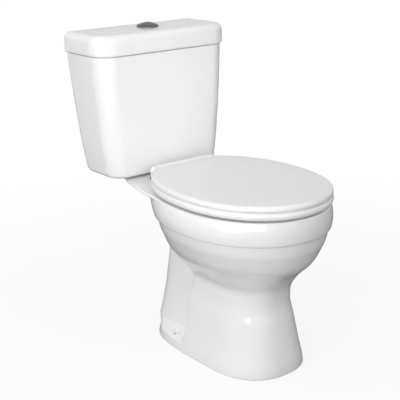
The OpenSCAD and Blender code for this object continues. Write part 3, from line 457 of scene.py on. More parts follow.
def hornRadius(z, a):
    # outline of the water horn under the deck
    s, c = np.sin(a), np.abs(np.cos(a))
    side = fade(z, *pan["hornHalf"]) / np.maximum(c, tiny)
    back = (eggD - along(pan["horn"], z, 1)) / np.maximum(s, leastSine)
    seen = (s > leastSine) & (z >= pan["horn"][0][0])
    return np.where(seen, softMin(side, back, pan["softness"]["hornCorner"]), 0.0)


def skinRadius(z, a):
    return softMax(panRadius(z, a), hornRadius(z, a), pan["softness"]["horn"])


def footInsideRows():
    # ceiling of the open foot, then down its inside to the floor
    wall, rows = pan["wall"], []
    for z, o in throughRows(pan["footCeiling"], pan["rowGap"]["ceiling"]):
        a = panAngles(z, wall + o)
        radius = panRadius(z, a, wall + o)
        if not rows:
            rows = [ringPoints(a, radius * share, z) for share in pan["ceilingShares"]]
        rows.append(ringPoints(a, radius, z))
    for z in [*levels(pan["insideLevels"]), pan["footChamfer"]]:
        a = panAngles(z, wall)
        rows.append(ringPoints(a, panRadius(z, a, wall), z))
    a = panAngles(0, wall)
    return rows + [ringPoints(a, panRadius(0, a, wall - pan["footChamfer"]), 0)]


def outsideRows():
    # round edge of the foot, then the outside up to the deck
    rows = []
    for t in turnSteps(0, 18):
        o, z = pan["footRadius"] * (1 - math.sin(t)), pan["footRadius"] * (1 - math.cos(t))
        a = panAngles(z)
        rows.append(ringPoints(a, panRadius(z, a) - o, z))
    step = pan["groove"]
    bandLevels = step["z"] + step["round"] * (1 - np.cos(turnSteps(0, 9)))
    for z in [*levels(pan["outsideLevels"]), *bandLevels, *levels(pan["rimLevels"])]:
        a = panAngles(z)
        rows.append(ringPoints(a, skinRadius(z, a), z))
    return rows


def deckRows():
    # underside of the deck, up the slope under its edge, and over its top to the opening
    under, top, edge = pan["deckUnder"], pan["top"], pan["edgeRadius"]
    soft, rows = pan["softness"]["deck"], []
    for t in np.cumsum(pan["underSteps"]):
        z = mix(pan["underStart"], under, 1 - (1 - min(t, 1.0)) ** 4)
        a = panAngles(z)
        base = skinRadius(z, a)
        rows.append(ringPoints(a, mix(base, np.maximum(deckRadius(a, 1.0), base), ease(t) * t ** 0.3), z))
    for z, share in pan["slope"]:
        a = panAngles(min(z, pan["lastColumns"]))
        rows.append(ringPoints(a, softMax(panRadius(z, a), deckRadius(a, share), soft), z))
    a = panAngles(pan["lastColumns"])
    outer = softMax(panRadius(top - edge, a), deckRadius(a), soft)
    for t in turnSteps(0, 15):
        rows.append(ringPoints(a, outer - edge * (1 - math.cos(t)), top - edge + edge * math.sin(t)))
    lip = eggRadius(a, *pan["bowl"][0][1:], *pan["rimPower"])
    for t in 1 - (1 - between(0, 1, pan["topRows"])) ** pan["topCrowding"]:
        rows.append(ringPoints(a, mix(outer - edge, lip, t), top))
    return rows


def bowlRows():
    # the flushing rim, the bowl and the sump
    a = panAngles(pan["lastColumns"])
    front = pan["rimPower"][0]
    rows = []
    for z, w, f, b in throughRows(pan["bowl"], pan["rowGap"]["bowl"]):
        rows.append(ringPoints(a, eggRadius(a, w, f, b, front, fade(z, *pan["bowlBackPower"])), z))
    z, *sizes = pan["sumpEnd"]
    return rows + [ringPoints(a, eggRadius(a, *sizes, front, front), z)]


def trapPath():
    # down from the sump, over the weir and down to the outlet
    d, radius = pan["outletD"], pan["weirRadius"]
    path = list(pan["trapEntry"])
    for t in np.radians(range(30, 171, 20)):
        path.append((d + radius + radius * math.cos(t), pan["weirZ"] + radius * math.sin(t)))
    path += [(d, z) for z in pan["trapExit"]]
    return throughRows(path, pan["rowGap"]["trapway"])


def panHole(name, x, d):
    return turned(name, pan[name], (x, d), pan["sides"][name])


def makePan():
    piece = loft("pan_china", footInsideRows() + outsideRows() + deckRows() + bowlRows())
    outlet = (0, pan["outletD"])
    shaped(piece, "UNION", turned("spigot", pan["spigot"], outlet))
    cutters = [pipe("trapway", trapPath(), pan["trapRadius"]), panHole("flushHole", 0, valveD)]
    for side in (-1, 1):
        cutters.append(panHole("couplingHole", couplingX * side, valveD))
        cutters.append(panHole("seatHole", pan["seatBolt"][0] * side, pan["seatBolt"][1]))
        cutters.append(panHole("floorHole", pan["floorBolt"][0] * side, pan["floorBolt"][1]))
    shaped(piece, "DIFFERENCE", joined(cutters))
    shaped(piece, "DIFFERENCE", turned("outletBore", pan["outletBore"], outlet))
    smoothShade(piece, pan["sharpest"])
    return piece


tank = {
    "bottom": tankBox[0][2],
    "top": tankBox[1][2],
    "depth": 163.0,
    "footLess": 2,  # how much less deep it is at the bottom
    "footRadius": 12.0,
    "bow": 2.0,
    # at the bottom and at the top
    "frontCorner": (38, 47),
    "backCorner": (40, 13),
    "backGap": (8, 4),  # from the wall's line
    # height and half width
    "stations": [
        (412, 166), (440, 170.5), (480, 176.5), (530, 181.5), (600, 188), (680, 193.5), (717, 195.5),
    ],
    "wall": 11,
    "levels": [(430, 712, 9), (714.2, 715, 1)],
    "lipRadius": 2,
    "lip": [(717, 9), (716.6, 10.2), (715.5, 10.9), (713, 11.1)],
    "insideLevels": [(704, 440, -12), (436, 435, -1)],
    "floor": [(430, 12.2), (427, 14), (425, 16.6), (424, 19)],
    "holeHeights": (400, 440),
    # x and radius
    "valveHole": (0, 31.5),
    "inletHole": (115, 11.5),
    "boltRadius": 5.5,
    "wallHole": {"x": 120, "z": 640, "radius": 4.5, "from": -40, "to": 10},
    "sides": {"valveHole": 64, "inletHole": 32, "boltHole": 24, "wallHole": 24},
    "lastShare": 0.05,
}
lid = {
    "halfWidth": lidBox[1][0],
    "depth": 168.0,
    "top": lidBox[1][2],
    "frontCorner": 50,
    "backCorner": 14,
    "bow": 3.0,
    "roll": 17.0,
    "rollDrop": 1.5,
    # nearly flat top: drop and inset
    "crown": [(0, 80), (0.15, 62), (0.45, 45), (0.8, 33), (1.15, 25)],
    "skirt": (748, 742, 736, 730, 726),
    # rounded lower edge, the shadow gap over the tank, and the rib that goes down inside it
    "lowerEdge": [
        (723.2, 0.15), (721.7, 0.5), (720.6, 1.1), (719.9, 1.8), (719.4, 2.7), (719.1, 3.5), (719, 4.4),
    ],
    "shadowGap": [
        (718.9, 7), (718.8, 9.4), (718.4, 10.4), (717.8, 10.9), (717.3, 11.2), (717.3, 14), (717.3, 16.8),
    ],
    "rib": [
        (716.9, 17.7), (716.2, 18.2), (713, 18.6), (711.2, 19), (710.5, 19.6), (710.3, 20.5), (710.3, 26.6),
        (710.6, 27.4), (711.4, 27.9),
    ],
    "inside": [
        (720, 27.4), (728, 27), (738, 25), (746, 23.5), (750, 23), (753.5, 24.5), (755.8, 27.5), (757, 32),
    ],
    "buttonHole": [(20.5, 740), (20.5, 790)],
    "topShares": (0.04, 0.3, 0.65),  # rows that close the top towards its middle
    "lastShare": 0.04,
}
boxColumns = {"backCorner": 15, "back": 20, "side": 6, "frontCorner": 21, "front": 24}
endShares = (0.85, 0.6, 0.3)  # rows that close a flat end towards its middle


def boxRow(z, w, depth, frontCorner, backCorner, bow, back, inset):
    # rounded outline with a bowed front
    half, front, rear = w - inset, depth - inset, back + inset
    f, b = max(frontCorner - inset, 2.0), max(backCorner - inset, 2.0)
    q = np.radians(np.linspace(0, 90, boxColumns["backCorner"]))
    p = np.radians(np.linspace(0, 90, boxColumns["frontCorner"]))
    side = between(rear + b, front - f, boxColumns["side"])
    frontSide = between(front - f, rear + b, boxColumns["side"])
    acrossBack = between(half - b, -half + b, boxColumns["back"])
    acrossFront = between(-half + f, half - f, boxColumns["front"])
    xd = np.vstack([
        np.column_stack([half - b + b * np.cos(q), rear + b - b * np.sin(q)]),
        np.column_stack([acrossBack, np.full_like(acrossBack, rear)]),
        np.column_stack([-half + b - b * np.cos(q[::-1]), rear + b - b * np.sin(q[::-1])]),
        np.column_stack([np.full_like(side, -half), side]),
        np.column_stack([-half + f - f * np.cos(p), front - f + f * np.sin(p)]),
        np.column_stack([acrossFront, np.full_like(acrossFront, front)]),
        np.column_stack([half - f + f * np.cos(p[::-1]), front - f + f * np.sin(p[::-1])]),
        np.column_stack([np.full_like(frontSide, half), frontSide]),
    ])
    bowed = bow * (1 - (xd[:, 0] / w) ** 2) * np.clip(xd[:, 1] / depth, 0, None) ** 2
    return np.column_stack([xd[:, 0], wallY - xd[:, 1] - bowed, np.full(len(xd), z)])


def shrunk(row, share):
    centre = row.mean(0)
    return centre + (row - centre) * np.array([share, share, 1.0])


def tankRow(z, o):
    t = (z - tank["bottom"]) / (tank["top"] - tank["bottom"])
    depth = mix(tank["depth"] - tank["footLess"], tank["depth"], min(1.0, t * 2))
    front, rear, gap = (mix(*tank[key], t) for key in ("frontCorner", "backCorner", "backGap"))
    return boxRow(z, along(tank["stations"], z, 1), depth, front, rear, tank["bow"], gap, o)


def tankHole(name, x, radius):
    # cutter through the tank's floor on the valve's line
    return turned(name, [(radius, z) for z in tank["holeHeights"]], (x, valveD), tank["sides"][name])


def makeTank():
    foot, lip, top = tank["footRadius"], tank["lipRadius"], tank["top"]
    first = tankRow(tank["bottom"], foot)
    rows = [shrunk(first, share) for share in (tank["lastShare"], *endShares[::-1])] + [first]
    for t in turnSteps(9, 9):
        rows.append(tankRow(tank["bottom"] + foot * (1 - math.cos(t)), foot * (1 - math.sin(t))))
    rows += [tankRow(z, 0) for z in levels(tank["levels"])]
    for t in np.radians([22, 45, 67, 90]):
        rows.append(tankRow(top - lip + lip * math.sin(t), lip * (1 - math.cos(t))))
    inside = tank["lip"] + [(z, tank["wall"]) for z in levels(tank["insideLevels"])] + tank["floor"]
    rows += [tankRow(z, o) for z, o in inside]
    rows += [shrunk(rows[-1], share) for share in (*endShares, tank["lastShare"])]
    piece = loft("cistern_tank_china", rows)
    cutters = [tankHole(name, *tank[name]) for name in ("valveHole", "inletHole")]
    wallHole = tank["wallHole"]
    for side in (-1, 1):
        cutters.append(tankHole("boltHole", side * couplingX, tank["boltRadius"]))
        ends = [(side * wallHole["x"], wallY + wallHole[end], wallHole["z"]) for end in ("from", "to")]
        cutters.append(bar("wallHole", *ends, wallHole["radius"], tank["sides"]["wallHole"]))
    shaped(piece, "DIFFERENCE", joined(cutters))
    smoothShade(piece)
    return piece


def lidRow(z, o):
    sizes = (lid[key] for key in ("halfWidth", "depth", "frontCorner", "backCorner", "bow"))
    return boxRow(z, *sizes, 0.0, o)


def makeLid():
    top, roll = lid["top"], lid["roll"]
    profile = [(top - drop, o) for drop, o in lid["crown"]]
    for t in turnSteps(6, 7):
        profile.append((top - lid["rollDrop"] - roll * (1 - math.cos(t)), roll * (1 - math.sin(t))))
    profile += [(z, 0) for z in lid["skirt"]]
    profile += lid["lowerEdge"] + lid["shadowGap"] + lid["rib"] + lid["inside"]
    rows = [shrunk(lidRow(top, lid["crown"][0][1]), share) for share in lid["topShares"]]
    rows += [lidRow(z, o) for z, o in profile]
    rows += [shrunk(rows[-1], share) for share in (*endShares, lid["lastShare"])]
    piece = loft("cistern_lid_china", rows)
    shaped(piece, "DIFFERENCE", turned("buttonHole", lid["buttonHole"], (0, valveD)))
    smoothShade(piece)
    return piece


seat = {
    "halfWidth": 181.0,
    "reach": 231.0,
    "back": 246.0,
    "power": (2.1, 2.25),
    "backPower": 24.0,  # how crisply the straight back cuts the outline
    "columns": 200,
    "hingeX": 70.0,
    "pinRadius": 4.06,
    "pinReach": 60,
    "pinSides": 32,
    "barrelRadius": 8,
    "barrelSides": 40,
    "lugX": 20.7,  # cover lug, out from the middle of the post
}
# Profiles of the ring and the cover are (height above the underside, inset).
ring = {
    "bottom": ringBox[0][2],
    "back": 229.0,
    "outer": [(0, 6), (1.5, 2.2), (6, -0.3), (10, -1), (15, 0.6), (17.8, 3.4), (19, 8)],
    "inner": [(19, 9), (17.4, 4), (14, 1), (9, 0), (2, 1.5), (0, 4)],
    "opening": (113, 160, 116),  # half width, forward, back
    "openingPower": (2.1, 2.2),
    "topRows": 8,
    "underRows": 6,
    "barrelReach": 17.5,
    "webDepth": 30,
    # half width, forward and back of the room cut for the hinge post and for each cover lug
    "postRoom": (12.5, 14, 26),
    "lugRoom": (3.1, 11, 29),
    "roomHalfHeight": 20,
    "padHole": [(5, 412), (5, 416)],
    "padSides": 24,
    "rowGap": 1.6,
    "pads": [(142, 470), (76.9, 608)],  # x and d
}
cover = {
    "bottom": ringBox[1][2] + 0.4,
    "edge": [(0, 3), (1, 0.9), (3.4, 0), (8, 0.3), (10.8, 1.3), (12.6, 2.9), (13.6, 5.4), (14, 9)],
    "under": [(0, 5.5), (0, 9.6), (0.5, 10.4), (2, 10.5), (7.6, 12.5), (8.6, 17), (9.8, 60)],
    "back": 238.0,
    "underBack": 231.0,
    "rowGap": 1.2,
    "underRowGap": 3,
    "backLean": 0.35,
    "thickness": 14,
    "crown": {"rise": 1.8, "from": 9, "over": 40},
    "rollRadius": 17.0,
    "rollHalf": 94.5,
    "rollEnd": 13.0,  # length of its rounded end
    "rollAhead": 3,  # how far it sits in front of the hinge pins
    "rollTurn": 78,  # degrees of the roll that its edge rows cover
    "rollSide": 0.4,  # how far its ends draw in for each millimetre of its back
    "rollFade": (-1.5, 3),  # where the edge's height gives way to the roll's
    # how softly the top, the edge and the ends run into the roll
    "topSoftness": 3.5,
    "edgeSoftness": 1.5,
    "endSoftness": 3.0,
    "topRows": 32,
    "topCrowding": 1.35,  # above 1 the rows crowd towards its edge
    "lugHalf": 2.5,
    "lugTop": 5,  # above the cover's underside
    "postRoom": (13.5, 22, 18),
    "roomHeights": (-20, 20.5),
}
seatAngles = fullTurn(seat["columns"])


def seatRadius(o, back):
    sizes = (seat[key] - o for key in ("halfWidth", "reach", "back"))
    r = eggRadius(seatAngles, *sizes, *seat["power"])
    s, n = np.sin(seatAngles), seat["backPower"]
    return np.where(s > 0, (r ** -n + (back / np.maximum(s, tiny)) ** -n) ** (-1 / n), r)


def openingRadius(o):
    return eggRadius(seatAngles, *(size + o for size in ring["opening"]), *ring["openingPower"])


def hingeBlock(name, x, sizes, low, high):
    # block about the hinge line; sizes are its half width, forward and back
    half, forward, back = sizes
    return block(name, (x - half, hingeY - forward, hingeZ + low), (x + half, hingeY + back, hingeZ + high))


def pinHole(x):
    ends = [(x + side * seat["pinReach"], hingeY, hingeZ) for side in (-1, 1)]
    return bar("pinHole", *ends, seat["pinRadius"], seat["pinSides"])


def hingeBarrel(name, x, half):
    ends = [(x + side * half, hingeY, hingeZ) for side in (-1, 1)]
    return bar(name, *ends, seat["barrelRadius"], seat["barrelSides"])


def flatRows(start, end, count):
    # level rows between two outlines, each given with its height
    return [(mix(start[0], end[0], t), end[1]) for t in between(0, 1, count)]


def makeRing():
    low = ring["bottom"]
    outer, inner = (throughRows(raised(ring[key], low), ring["rowGap"]) for key in ("outer", "inner"))
    outside = [(seatRadius(o, ring["back"]), z) for z, o in outer]
    inside = [(openingRadius(o), z) for z, o in inner]
    overTop = flatRows(outside[-1], inside[0], ring["topRows"])
    underneath = flatRows(inside[-1], outside[0], ring["underRows"])
    skin = outside + overTop + inside + underneath
    piece = loft("seat_ring_moulding", [ringPoints(seatAngles, r, z) for r, z in skin], ring=True)
    reach, radius = ring["barrelReach"], seat["barrelRadius"]
    webSizes = (reach, ring["webDepth"] - faceClearance, 0)
    for side in (-1, 1):
        x = side * seat["hingeX"]
        barrel = hingeBarrel("barrel", x, reach)
        web = hingeBlock("web", x, webSizes, -radius, radius - faceClearance)
        shaped(piece, "UNION", shaped(barrel, "UNION", web))
    tall = ring["roomHalfHeight"]
    for side in (-1, 1):
        x = side * seat["hingeX"]
        cuts = [hingeBlock("postRoom", x, ring["postRoom"], -tall, tall)]
        for lug in (-seat["lugX"], seat["lugX"]):
            cuts.append(hingeBlock("lugRoom", x + lug, ring["lugRoom"], -tall, tall))
        shaped(piece, "DIFFERENCE", joined(cuts))
        shaped(piece, "DIFFERENCE", pinHole(x))
        for padX, padD in ring["pads"]:
            pad = turned("padHole", ring["padHole"], (padX * side, padD), ring["padSides"])
            shaped(piece, "DIFFERENCE", pad)
    smoothShade(piece)
    return piece


def rollReach(o, side):
    # outline of the roll behind the cover, o in from its back and side in from its ends
    s, c = np.sin(seatAngles), np.abs(np.cos(seatAngles))
    back = (eggD - hingeD - cover["rollAhead"] + cover["rollRadius"] - o) / np.maximum(s, leastSine)
    end = (cover["rollHalf"] - side) / np.maximum(c, tiny)
    return np.where(s > leastSine, softMin(end, back, cover["endSoftness"]), 0.0)


def coverHeight(r):
    # top of the cover, crowned, with its roll at the back
    low, radius, crown = cover["bottom"], cover["rollRadius"], cover["crown"]
    x, d = np.abs(r * np.cos(seatAngles)), eggD - r * np.sin(seatAngles)
    inward = np.maximum(seatRadius(0.0, cover["back"]) - r - crown["from"], 0)
    top = low + cover["thickness"] + crown["rise"] * (1 - np.exp(-inward / crown["over"]))
    end = np.clip((x - cover["rollHalf"] + cover["rollEnd"]) / cover["rollEnd"], 0, 1)
    off = (d - hingeD - cover["rollAhead"]) / radius
    rollZ = radius * np.sqrt(np.clip(1 - end ** 2, 0, 1) * np.clip(1 - off ** 2, 0, None))
    return softMax(top, low + rollZ, cover["topSoftness"])


def makeCover():
    low, radius = cover["bottom"], cover["rollRadius"]
    edge = throughRows(raised(cover["edge"], low), cover["rowGap"])
    rows = []
    for (z, o), t in zip(edge, np.radians(np.linspace(0, cover["rollTurn"], len(edge)))):
        inset = radius * (1 - math.cos(t))
        egg = seatRadius(o, cover["back"] - cover["backLean"] * o)
        roll = rollReach(inset, inset * cover["rollSide"])
        height = fade(roll - egg, *cover["rollFade"], z, low + radius * math.sin(t))
        rows.append(ringPoints(seatAngles, softMax(egg, roll, cover["edgeSoftness"]), height))
    last = np.hypot(rows[-1][:, 0], rows[-1][:, 1] - eggY)
    for share in 1 - between(0, 1, cover["topRows"]) ** cover["topCrowding"]:
        rows.append(ringPoints(seatAngles, last * share, coverHeight(last * share)))
    rows.reverse()
    under = throughRows(raised(cover["under"], low), cover["underRowGap"])
    rows += [ringPoints(seatAngles, seatRadius(o, cover["underBack"]), z) for z, o in under]
    piece = loft("seat_cover_moulding", rows)
    half, thick = cover["lugHalf"], seat["barrelRadius"] - faceClearance
    for side in (-1, 1):
        for lug in (-seat["lugX"], seat["lugX"]):
            x = side * seat["hingeX"] + lug
            web = hingeBlock("lugWeb", x, (half, thick, thick), 0, low + cover["lugTop"] - hingeZ)
            shaped(piece, "UNION", shaped(hingeBarrel("lug", x, half), "UNION", web))
    for side in (-1, 1):
        x = side * seat["hingeX"]
        shaped(piece, "DIFFERENCE", hingeBlock("postRoom", x, cover["postRoom"], *cover["roomHeights"]))
        shaped(piece, "DIFFERENCE", pinHole(x))
    smoothShade(piece)
    return piece


def nodeGroup(name, inputs, outputs):
    # an input without a value is a colour, the others are numbers
    group = bpy.data.node_groups.new(name, "ShaderNodeTree")
    for label, value in inputs:
        kind = "NodeSocketColor" if value is None else "NodeSocketFloat"
        socket = group.interface.new_socket(name=label, in_out="INPUT", socket_type=kind)
        if value is not None:
            socket.default_value = value
    for label, kind in outputs:
        group.interface.new_socket(name=label, in_out="OUTPUT", socket_type=kind)
    start, end = group.nodes.new("NodeGroupInput"), group.nodes.new("NodeGroupOutput")
    return group, start, end


def place(tree, kind, **settings):
    node = tree.nodes.new(kind)
    for key, value in settings.items():
        if key in node.inputs:
            node.inputs[key].default_value = value
        else:
            setattr(node, key, value)
    return node


def tintGroup():
    # slow drift between two near colours, with finer specks of the second one
    group, start, end = nodeGroup(
        "slowTint",
        [("Color", None), ("Other Color", None), ("Size", 8.0), ("Speck Size", 600.0), ("Speck Amount", 0.2)],
        [("Color", "NodeSocketColor")])
    link = group.links.new
    where = group.nodes.new("ShaderNodeTexCoord")
    slow = place(group, "ShaderNodeTexNoise", Detail=3.0, Roughness=0.5)
    fine = place(group, "ShaderNodeTexNoise", Detail=1.0, Roughness=0.6)
    for noise, size in ((slow, "Size"), (fine, "Speck Size")):
        link(where.outputs["Object"], noise.inputs["Vector"])
        link(start.outputs[size], noise.inputs["Scale"])
    speck = place(group, "ShaderNodeMapRange", **{"From Min": 0.62, "From Max": 0.72})
    link(fine.outputs["Fac"], speck.inputs["Value"])
    scaled = place(group, "ShaderNodeMath", operation="MULTIPLY")
    link(speck.outputs["Result"], scaled.inputs[0])
    link(start.outputs["Speck Amount"], scaled.inputs[1])
    drift = place(group, "ShaderNodeMapRange", **{"From Min": 0.3, "From Max": 0.7, "To Max": 0.8})
    link(slow.outputs["Fac"], drift.inputs["Value"])
    total = place(group, "ShaderNodeMath", operation="ADD", use_clamp=True)
    link(drift.outputs["Result"], total.inputs[0])
    link(scaled.outputs[0], total.inputs[1])
    blend = place(group, "ShaderNodeMix", data_type="RGBA")
    link(total.outputs[0], blend.inputs["Factor"])
    link(start.outputs["Color"], blend.inputs[6])
    link(start.outputs["Other Color"], blend.inputs[7])
    link(blend.outputs[2], end.inputs["Color"])
    return group


def unevenGroup():
    # roughness that drifts between two values, as a wiped or moulded surface does
    group, start, end = nodeGroup(
        "unevenGloss",
        [("Low", 0.1), ("High", 0.2), ("Size", 20.0)],
        [("Roughness", "NodeSocketFloat")])
    link = group.links.new
    where = group.nodes.new("ShaderNodeTexCoord")
    noise = place(group, "ShaderNodeTexNoise", Detail=4.0, Roughness=0.6, Distortion=0.4)
    link(where.outputs["Object"], noise.inputs["Vector"])
    link(start.outputs["Size"], noise.inputs["Scale"])
    spread = place(group, "ShaderNodeMapRange", **{"From Min": 0.3, "From Max": 0.7})
    link(noise.outputs["Fac"], spread.inputs["Value"])
    link(start.outputs["Low"], spread.inputs["To Min"])
    link(start.outputs["High"], spread.inputs["To Max"])
    link(spread.outputs["Result"], end.inputs["Roughness"])
    return group


def rippleGroup():
    # two scales of soft height: slow waves of a poured glaze and a fine orange peel
    group, start, end = nodeGroup(
        "softRipple",
        [("Wave Size", 25.0), ("Peel Size", 350.0), ("Peel Share", 0.15)],
        [("Height", "NodeSocketFloat")])
    link = group.links.new
    where = group.nodes.new("ShaderNodeTexCoord")
    wave = place(group, "ShaderNodeTexNoise", Detail=1.0, Roughness=0.4)
    peel = place(group, "ShaderNodeTexNoise", Detail=2.0, Roughness=0.5)
    for noise, size in ((wave, "Wave Size"), (peel, "Peel Size")):
        link(where.outputs["Object"], noise.inputs["Vector"])
        link(start.outputs[size], noise.inputs["Scale"])
    small = place(group, "ShaderNodeMath", operation="MULTIPLY")
    link(peel.outputs["Fac"], small.inputs[0])
    link(start.outputs["Peel Share"], small.inputs[1])
    total = place(group, "ShaderNodeMath", operation="ADD")
    link(wave.outputs["Fac"], total.inputs[0])
    link(small.outputs[0], total.inputs[1])
    link(total.outputs[0], end.inputs["Height"])
    return group


slowTint, unevenGloss, softRipple = tintGroup(), unevenGroup(), rippleGroup()


def grouped(tree, group, values):
    node = place(tree, "ShaderNodeGroup", node_tree=group)
    for key, value in values.items():
        node.inputs[key].default_value = (*value, 1.0) if isinstance(value, tuple) else value
    return node


def makeMaterial(name, look):
    material = bpy.data.materials.new(name)
    material.use_nodes = True
    tree = material.node_tree
    link = tree.links.new
    shader = tree.nodes["Principled BSDF"]
    for key, value in look["shader"].items():
        shader.inputs[key].default_value = value
    tint = grouped(tree, slowTint, look["tint"])
    link(tint.outputs["Color"], shader.inputs["Base Color"])
    gloss = grouped(tree, unevenGloss, look["gloss"])
    link(gloss.outputs["Roughness"], shader.inputs["Roughness"])
    ripple = grouped(tree, softRipple, look["ripple"])
    bump = place(tree, "ShaderNodeBump", Strength=look["bump"][0], Distance=look["bump"][1])
    link(ripple.outputs["Height"], bump.inputs["Height"])
    link(bump.outputs["Normal"], shader.inputs["Normal"])
    return material


looks = {
    "glazedChina": {
        "tint": {
            "Color": (0.905, 0.905, 0.9), "Other Color": (0.885, 0.888, 0.885),
            "Size": 6.0, "Speck Amount": 0.12,
        },
        "gloss": {"Low": 0.1, "High": 0.16, "Size": 9.0},
        "ripple": {"Wave Size": 14.0, "Peel Size": 160.0, "Peel Share": 0.04},
        "bump": (0.25, 0.0012),
        "shader": {"IOR": 1.5, "Coat Weight": 0.6, "Coat Roughness": 0.03},
    },
    "seatPlastic": {
        "tint": {
            "Color": (0.9, 0.9, 0.9), "Other Color": (0.885, 0.885, 0.888),
            "Size": 5.0, "Speck Amount": 0.05,
        },
        "gloss": {"Low": 0.16, "High": 0.24, "Size": 14.0},
        "ripple": {"Wave Size": 9.0, "Peel Size": 420.0, "Peel Share": 0.05},
        "bump": (0.2, 0.0008),
        "shader": {"IOR": 1.48},
    },
    "softBuffer": {
        "tint": {
            "Color": (0.78, 0.78, 0.76), "Other Color": (0.7, 0.7, 0.68),
            "Size": 60.0,
        },
        "gloss": {"Low": 0.5, "High": 0.65, "Size": 80.0},
        "ripple": {"Wave Size": 200.0, "Peel Size": 900.0, "Peel Share": 0.5},
        "bump": (0.25, 0.0004),
        "shader": {},
    },
    # chrome: its colour is taken down near black as a painted dark reflection, standing in for dark surroundings
    # that the room's white world and lamps don't give
    "chromePaintedDarkReflection": {
        "tint": {
            "Color": (0.22, 0.225, 0.23), "Other Color": (0.13, 0.135, 0.14),
            "Size": 40.0, "Speck Amount": 0.1,
        },
        "gloss": {"Low": 0.05, "High": 0.1, "Size": 60.0},
        "ripple": {"Wave Size": 40.0, "Peel Size": 300.0, "Peel Share": 0.05},
        "bump": (0.1, 0.0002),
        "shader": {"Metallic": 1.0},
    },
    "steelWire": {
        "tint": {
            "Color": (0.55, 0.56, 0.57), "Other Color": (0.42, 0.43, 0.45),
            "Size": 150.0, "Speck Amount": 0.3,
        },
        "gloss": {"Low": 0.25, "High": 0.4, "Size": 200.0},
        "ripple": {"Wave Size": 300.0, "Peel Size": 1200.0, "Peel Share": 0.4},
        "bump": (0.3, 0.0003),
        "shader": {"Metallic": 1.0},
    },
    "whitePlastic": {
        "tint": {
            "Color": (0.82, 0.82, 0.79), "Other Color": (0.77, 0.77, 0.73),
            "Size": 30.0, "Speck Amount": 0.15,
        },
        "gloss": {"Low": 0.35, "High": 0.48, "Size": 50.0},
        "ripple": {"Wave Size": 90.0, "Peel Size": 800.0, "Peel Share": 0.4},
        "bump": (0.25, 0.0004),
        "shader": {},
    },
    "bluePlastic": {
        "tint": {
            "Color": (0.1, 0.26, 0.52), "Other Color": (0.07, 0.21, 0.44),
            "Size": 30.0, "Speck Amount": 0.15,
        },
        "gloss": {"Low": 0.35, "High": 0.5, "Size": 50.0},
        "ripple": {"Wave Size": 90.0, "Peel Size": 800.0, "Peel Share": 0.4},
        "bump": (0.25, 0.0004),
        "shader": {},
    },
    "blackRubber": {
        "tint": {
            "Color": (0.035, 0.035, 0.036), "Other Color": (0.06, 0.06, 0.06),
            "Size": 60.0, "Speck Amount": 0.6,
        },
        "gloss": {"Low": 0.6, "High": 0.8, "Size": 90.0},
        "ripple": {"Wave Size": 160.0, "Peel Size": 1100.0, "Peel Share": 0.6},
        "bump": (0.4, 0.0004),
        "shader": {},
    },
    "turnedBrass": {
        "tint": {
            "Color": (0.66, 0.5, 0.22), "Other Color": (0.5, 0.36, 0.16),
            "Size": 70.0, "Speck Amount": 0.4,
        },
        "gloss": {"Low": 0.22, "High": 0.42, "Size": 120.0},
        "ripple": {"Wave Size": 220.0, "Peel Size": 1300.0, "Peel Share": 0.5},
        "bump": (0.3, 0.0003),
        "shader": {"Metallic": 1.0},
    },
}
materials = {name: makeMaterial(name, look) for name, look in looks.items()}
slotLook = {
    "glazed_china": "glazedChina", "seat_plastic": "seatPlastic", "soft_white": "softBuffer",
    "chrome_plate": "chromePaintedDarkReflection", "steel_wire": "steelWire", "white_plastic": "whitePlastic",
    "blue_plastic": "bluePlastic", "rubber": "blackRubber", "brass": "turnedBrass",
}
nodeSlot = {row["node"]: row["material_slot"] for row in frame["record"]["subparts"]}
print("materials made:", len(materials))


def finishPiece(piece, slotName):
    piece.data.materials.clear()
    piece.data.materials.append(materials[slotLook[slotName]])


replacements = [
    (makePan, "pan", "toilet", "glazed_china"),
    (makeTank, "cistern_tank", "toilet", "glazed_china"),
    (makeLid, "cistern_lid", "lid", "glazed_china"),
    (makeRing, "seat_ring", "seat", "seat_plastic"),
    (makeCover, "seat_cover", "cover", "seat_plastic"),
]
for make, node, body, slotName in replacements:
    piece = make()
    finishPiece(piece, slotName)
    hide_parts(node)
    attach(piece, body)
    print("made", piece.name, len(piece.data.polygons), "faces")

# rounded edges of the carried nodes, in metres
softEdges = {"wide": 0.0006, "narrow": 0.00025, "segments": 2, "weld": 0.00002}


def softenEdges(name, node):
    weld = node.modifiers.new("weld", "WELD")
    weld.merge_threshold = softEdges["weld"]
    soften = node.modifiers.new("soften", "BEVEL")
    soften.limit_method = "ANGLE"
    soften.angle_limit = math.radians(sharpAngle)
    soften.width = softEdges["narrow"] if "button" in name or "pin" in name else softEdges["wide"]
    soften.segments = softEdges["segments"]


replaced = {node for _, node, _, _ in replacements}
for name, node in cadNodes.items():
    if name in replaced:
        continue
    finishPiece(node, nodeSlot[name])
    node.data.polygons.foreach_set("use_smooth", [True] * len(node.data.polygons))
    if "spring" not in name:
        softenEdges(name, node)
print("carried nodes finished:", len(cadNodes) - len(replaced))

# lengths here are in metres
room = {
    "floorHalf": 30.0,
    "floorDrop": 0.0002,
    "seenColor": (1.0, 1.0, 1.0, 1.0),
    "bounceColor": (0.28, 0.28, 0.283, 1.0),
    # share of plain white close to the object and far from it
    "whiteNear": 0.82,
    "whiteFar": 1.0,
    "nearEnd": 0.6,
    "farStart": 1.8,
    "skyLight": 0.71,
}
plainWhite = (1, 1, 1, 1)


def mixed(tree, share, first, second):
    # blend of two shaders; share is the socket that says how much of the second
    blend = tree.nodes.new("ShaderNodeMixShader")
    tree.links.new(share, blend.inputs["Fac"])
    tree.links.new(first.outputs[0], blend.inputs[1])
    tree.links.new(second.outputs[0], blend.inputs[2])
    return blend


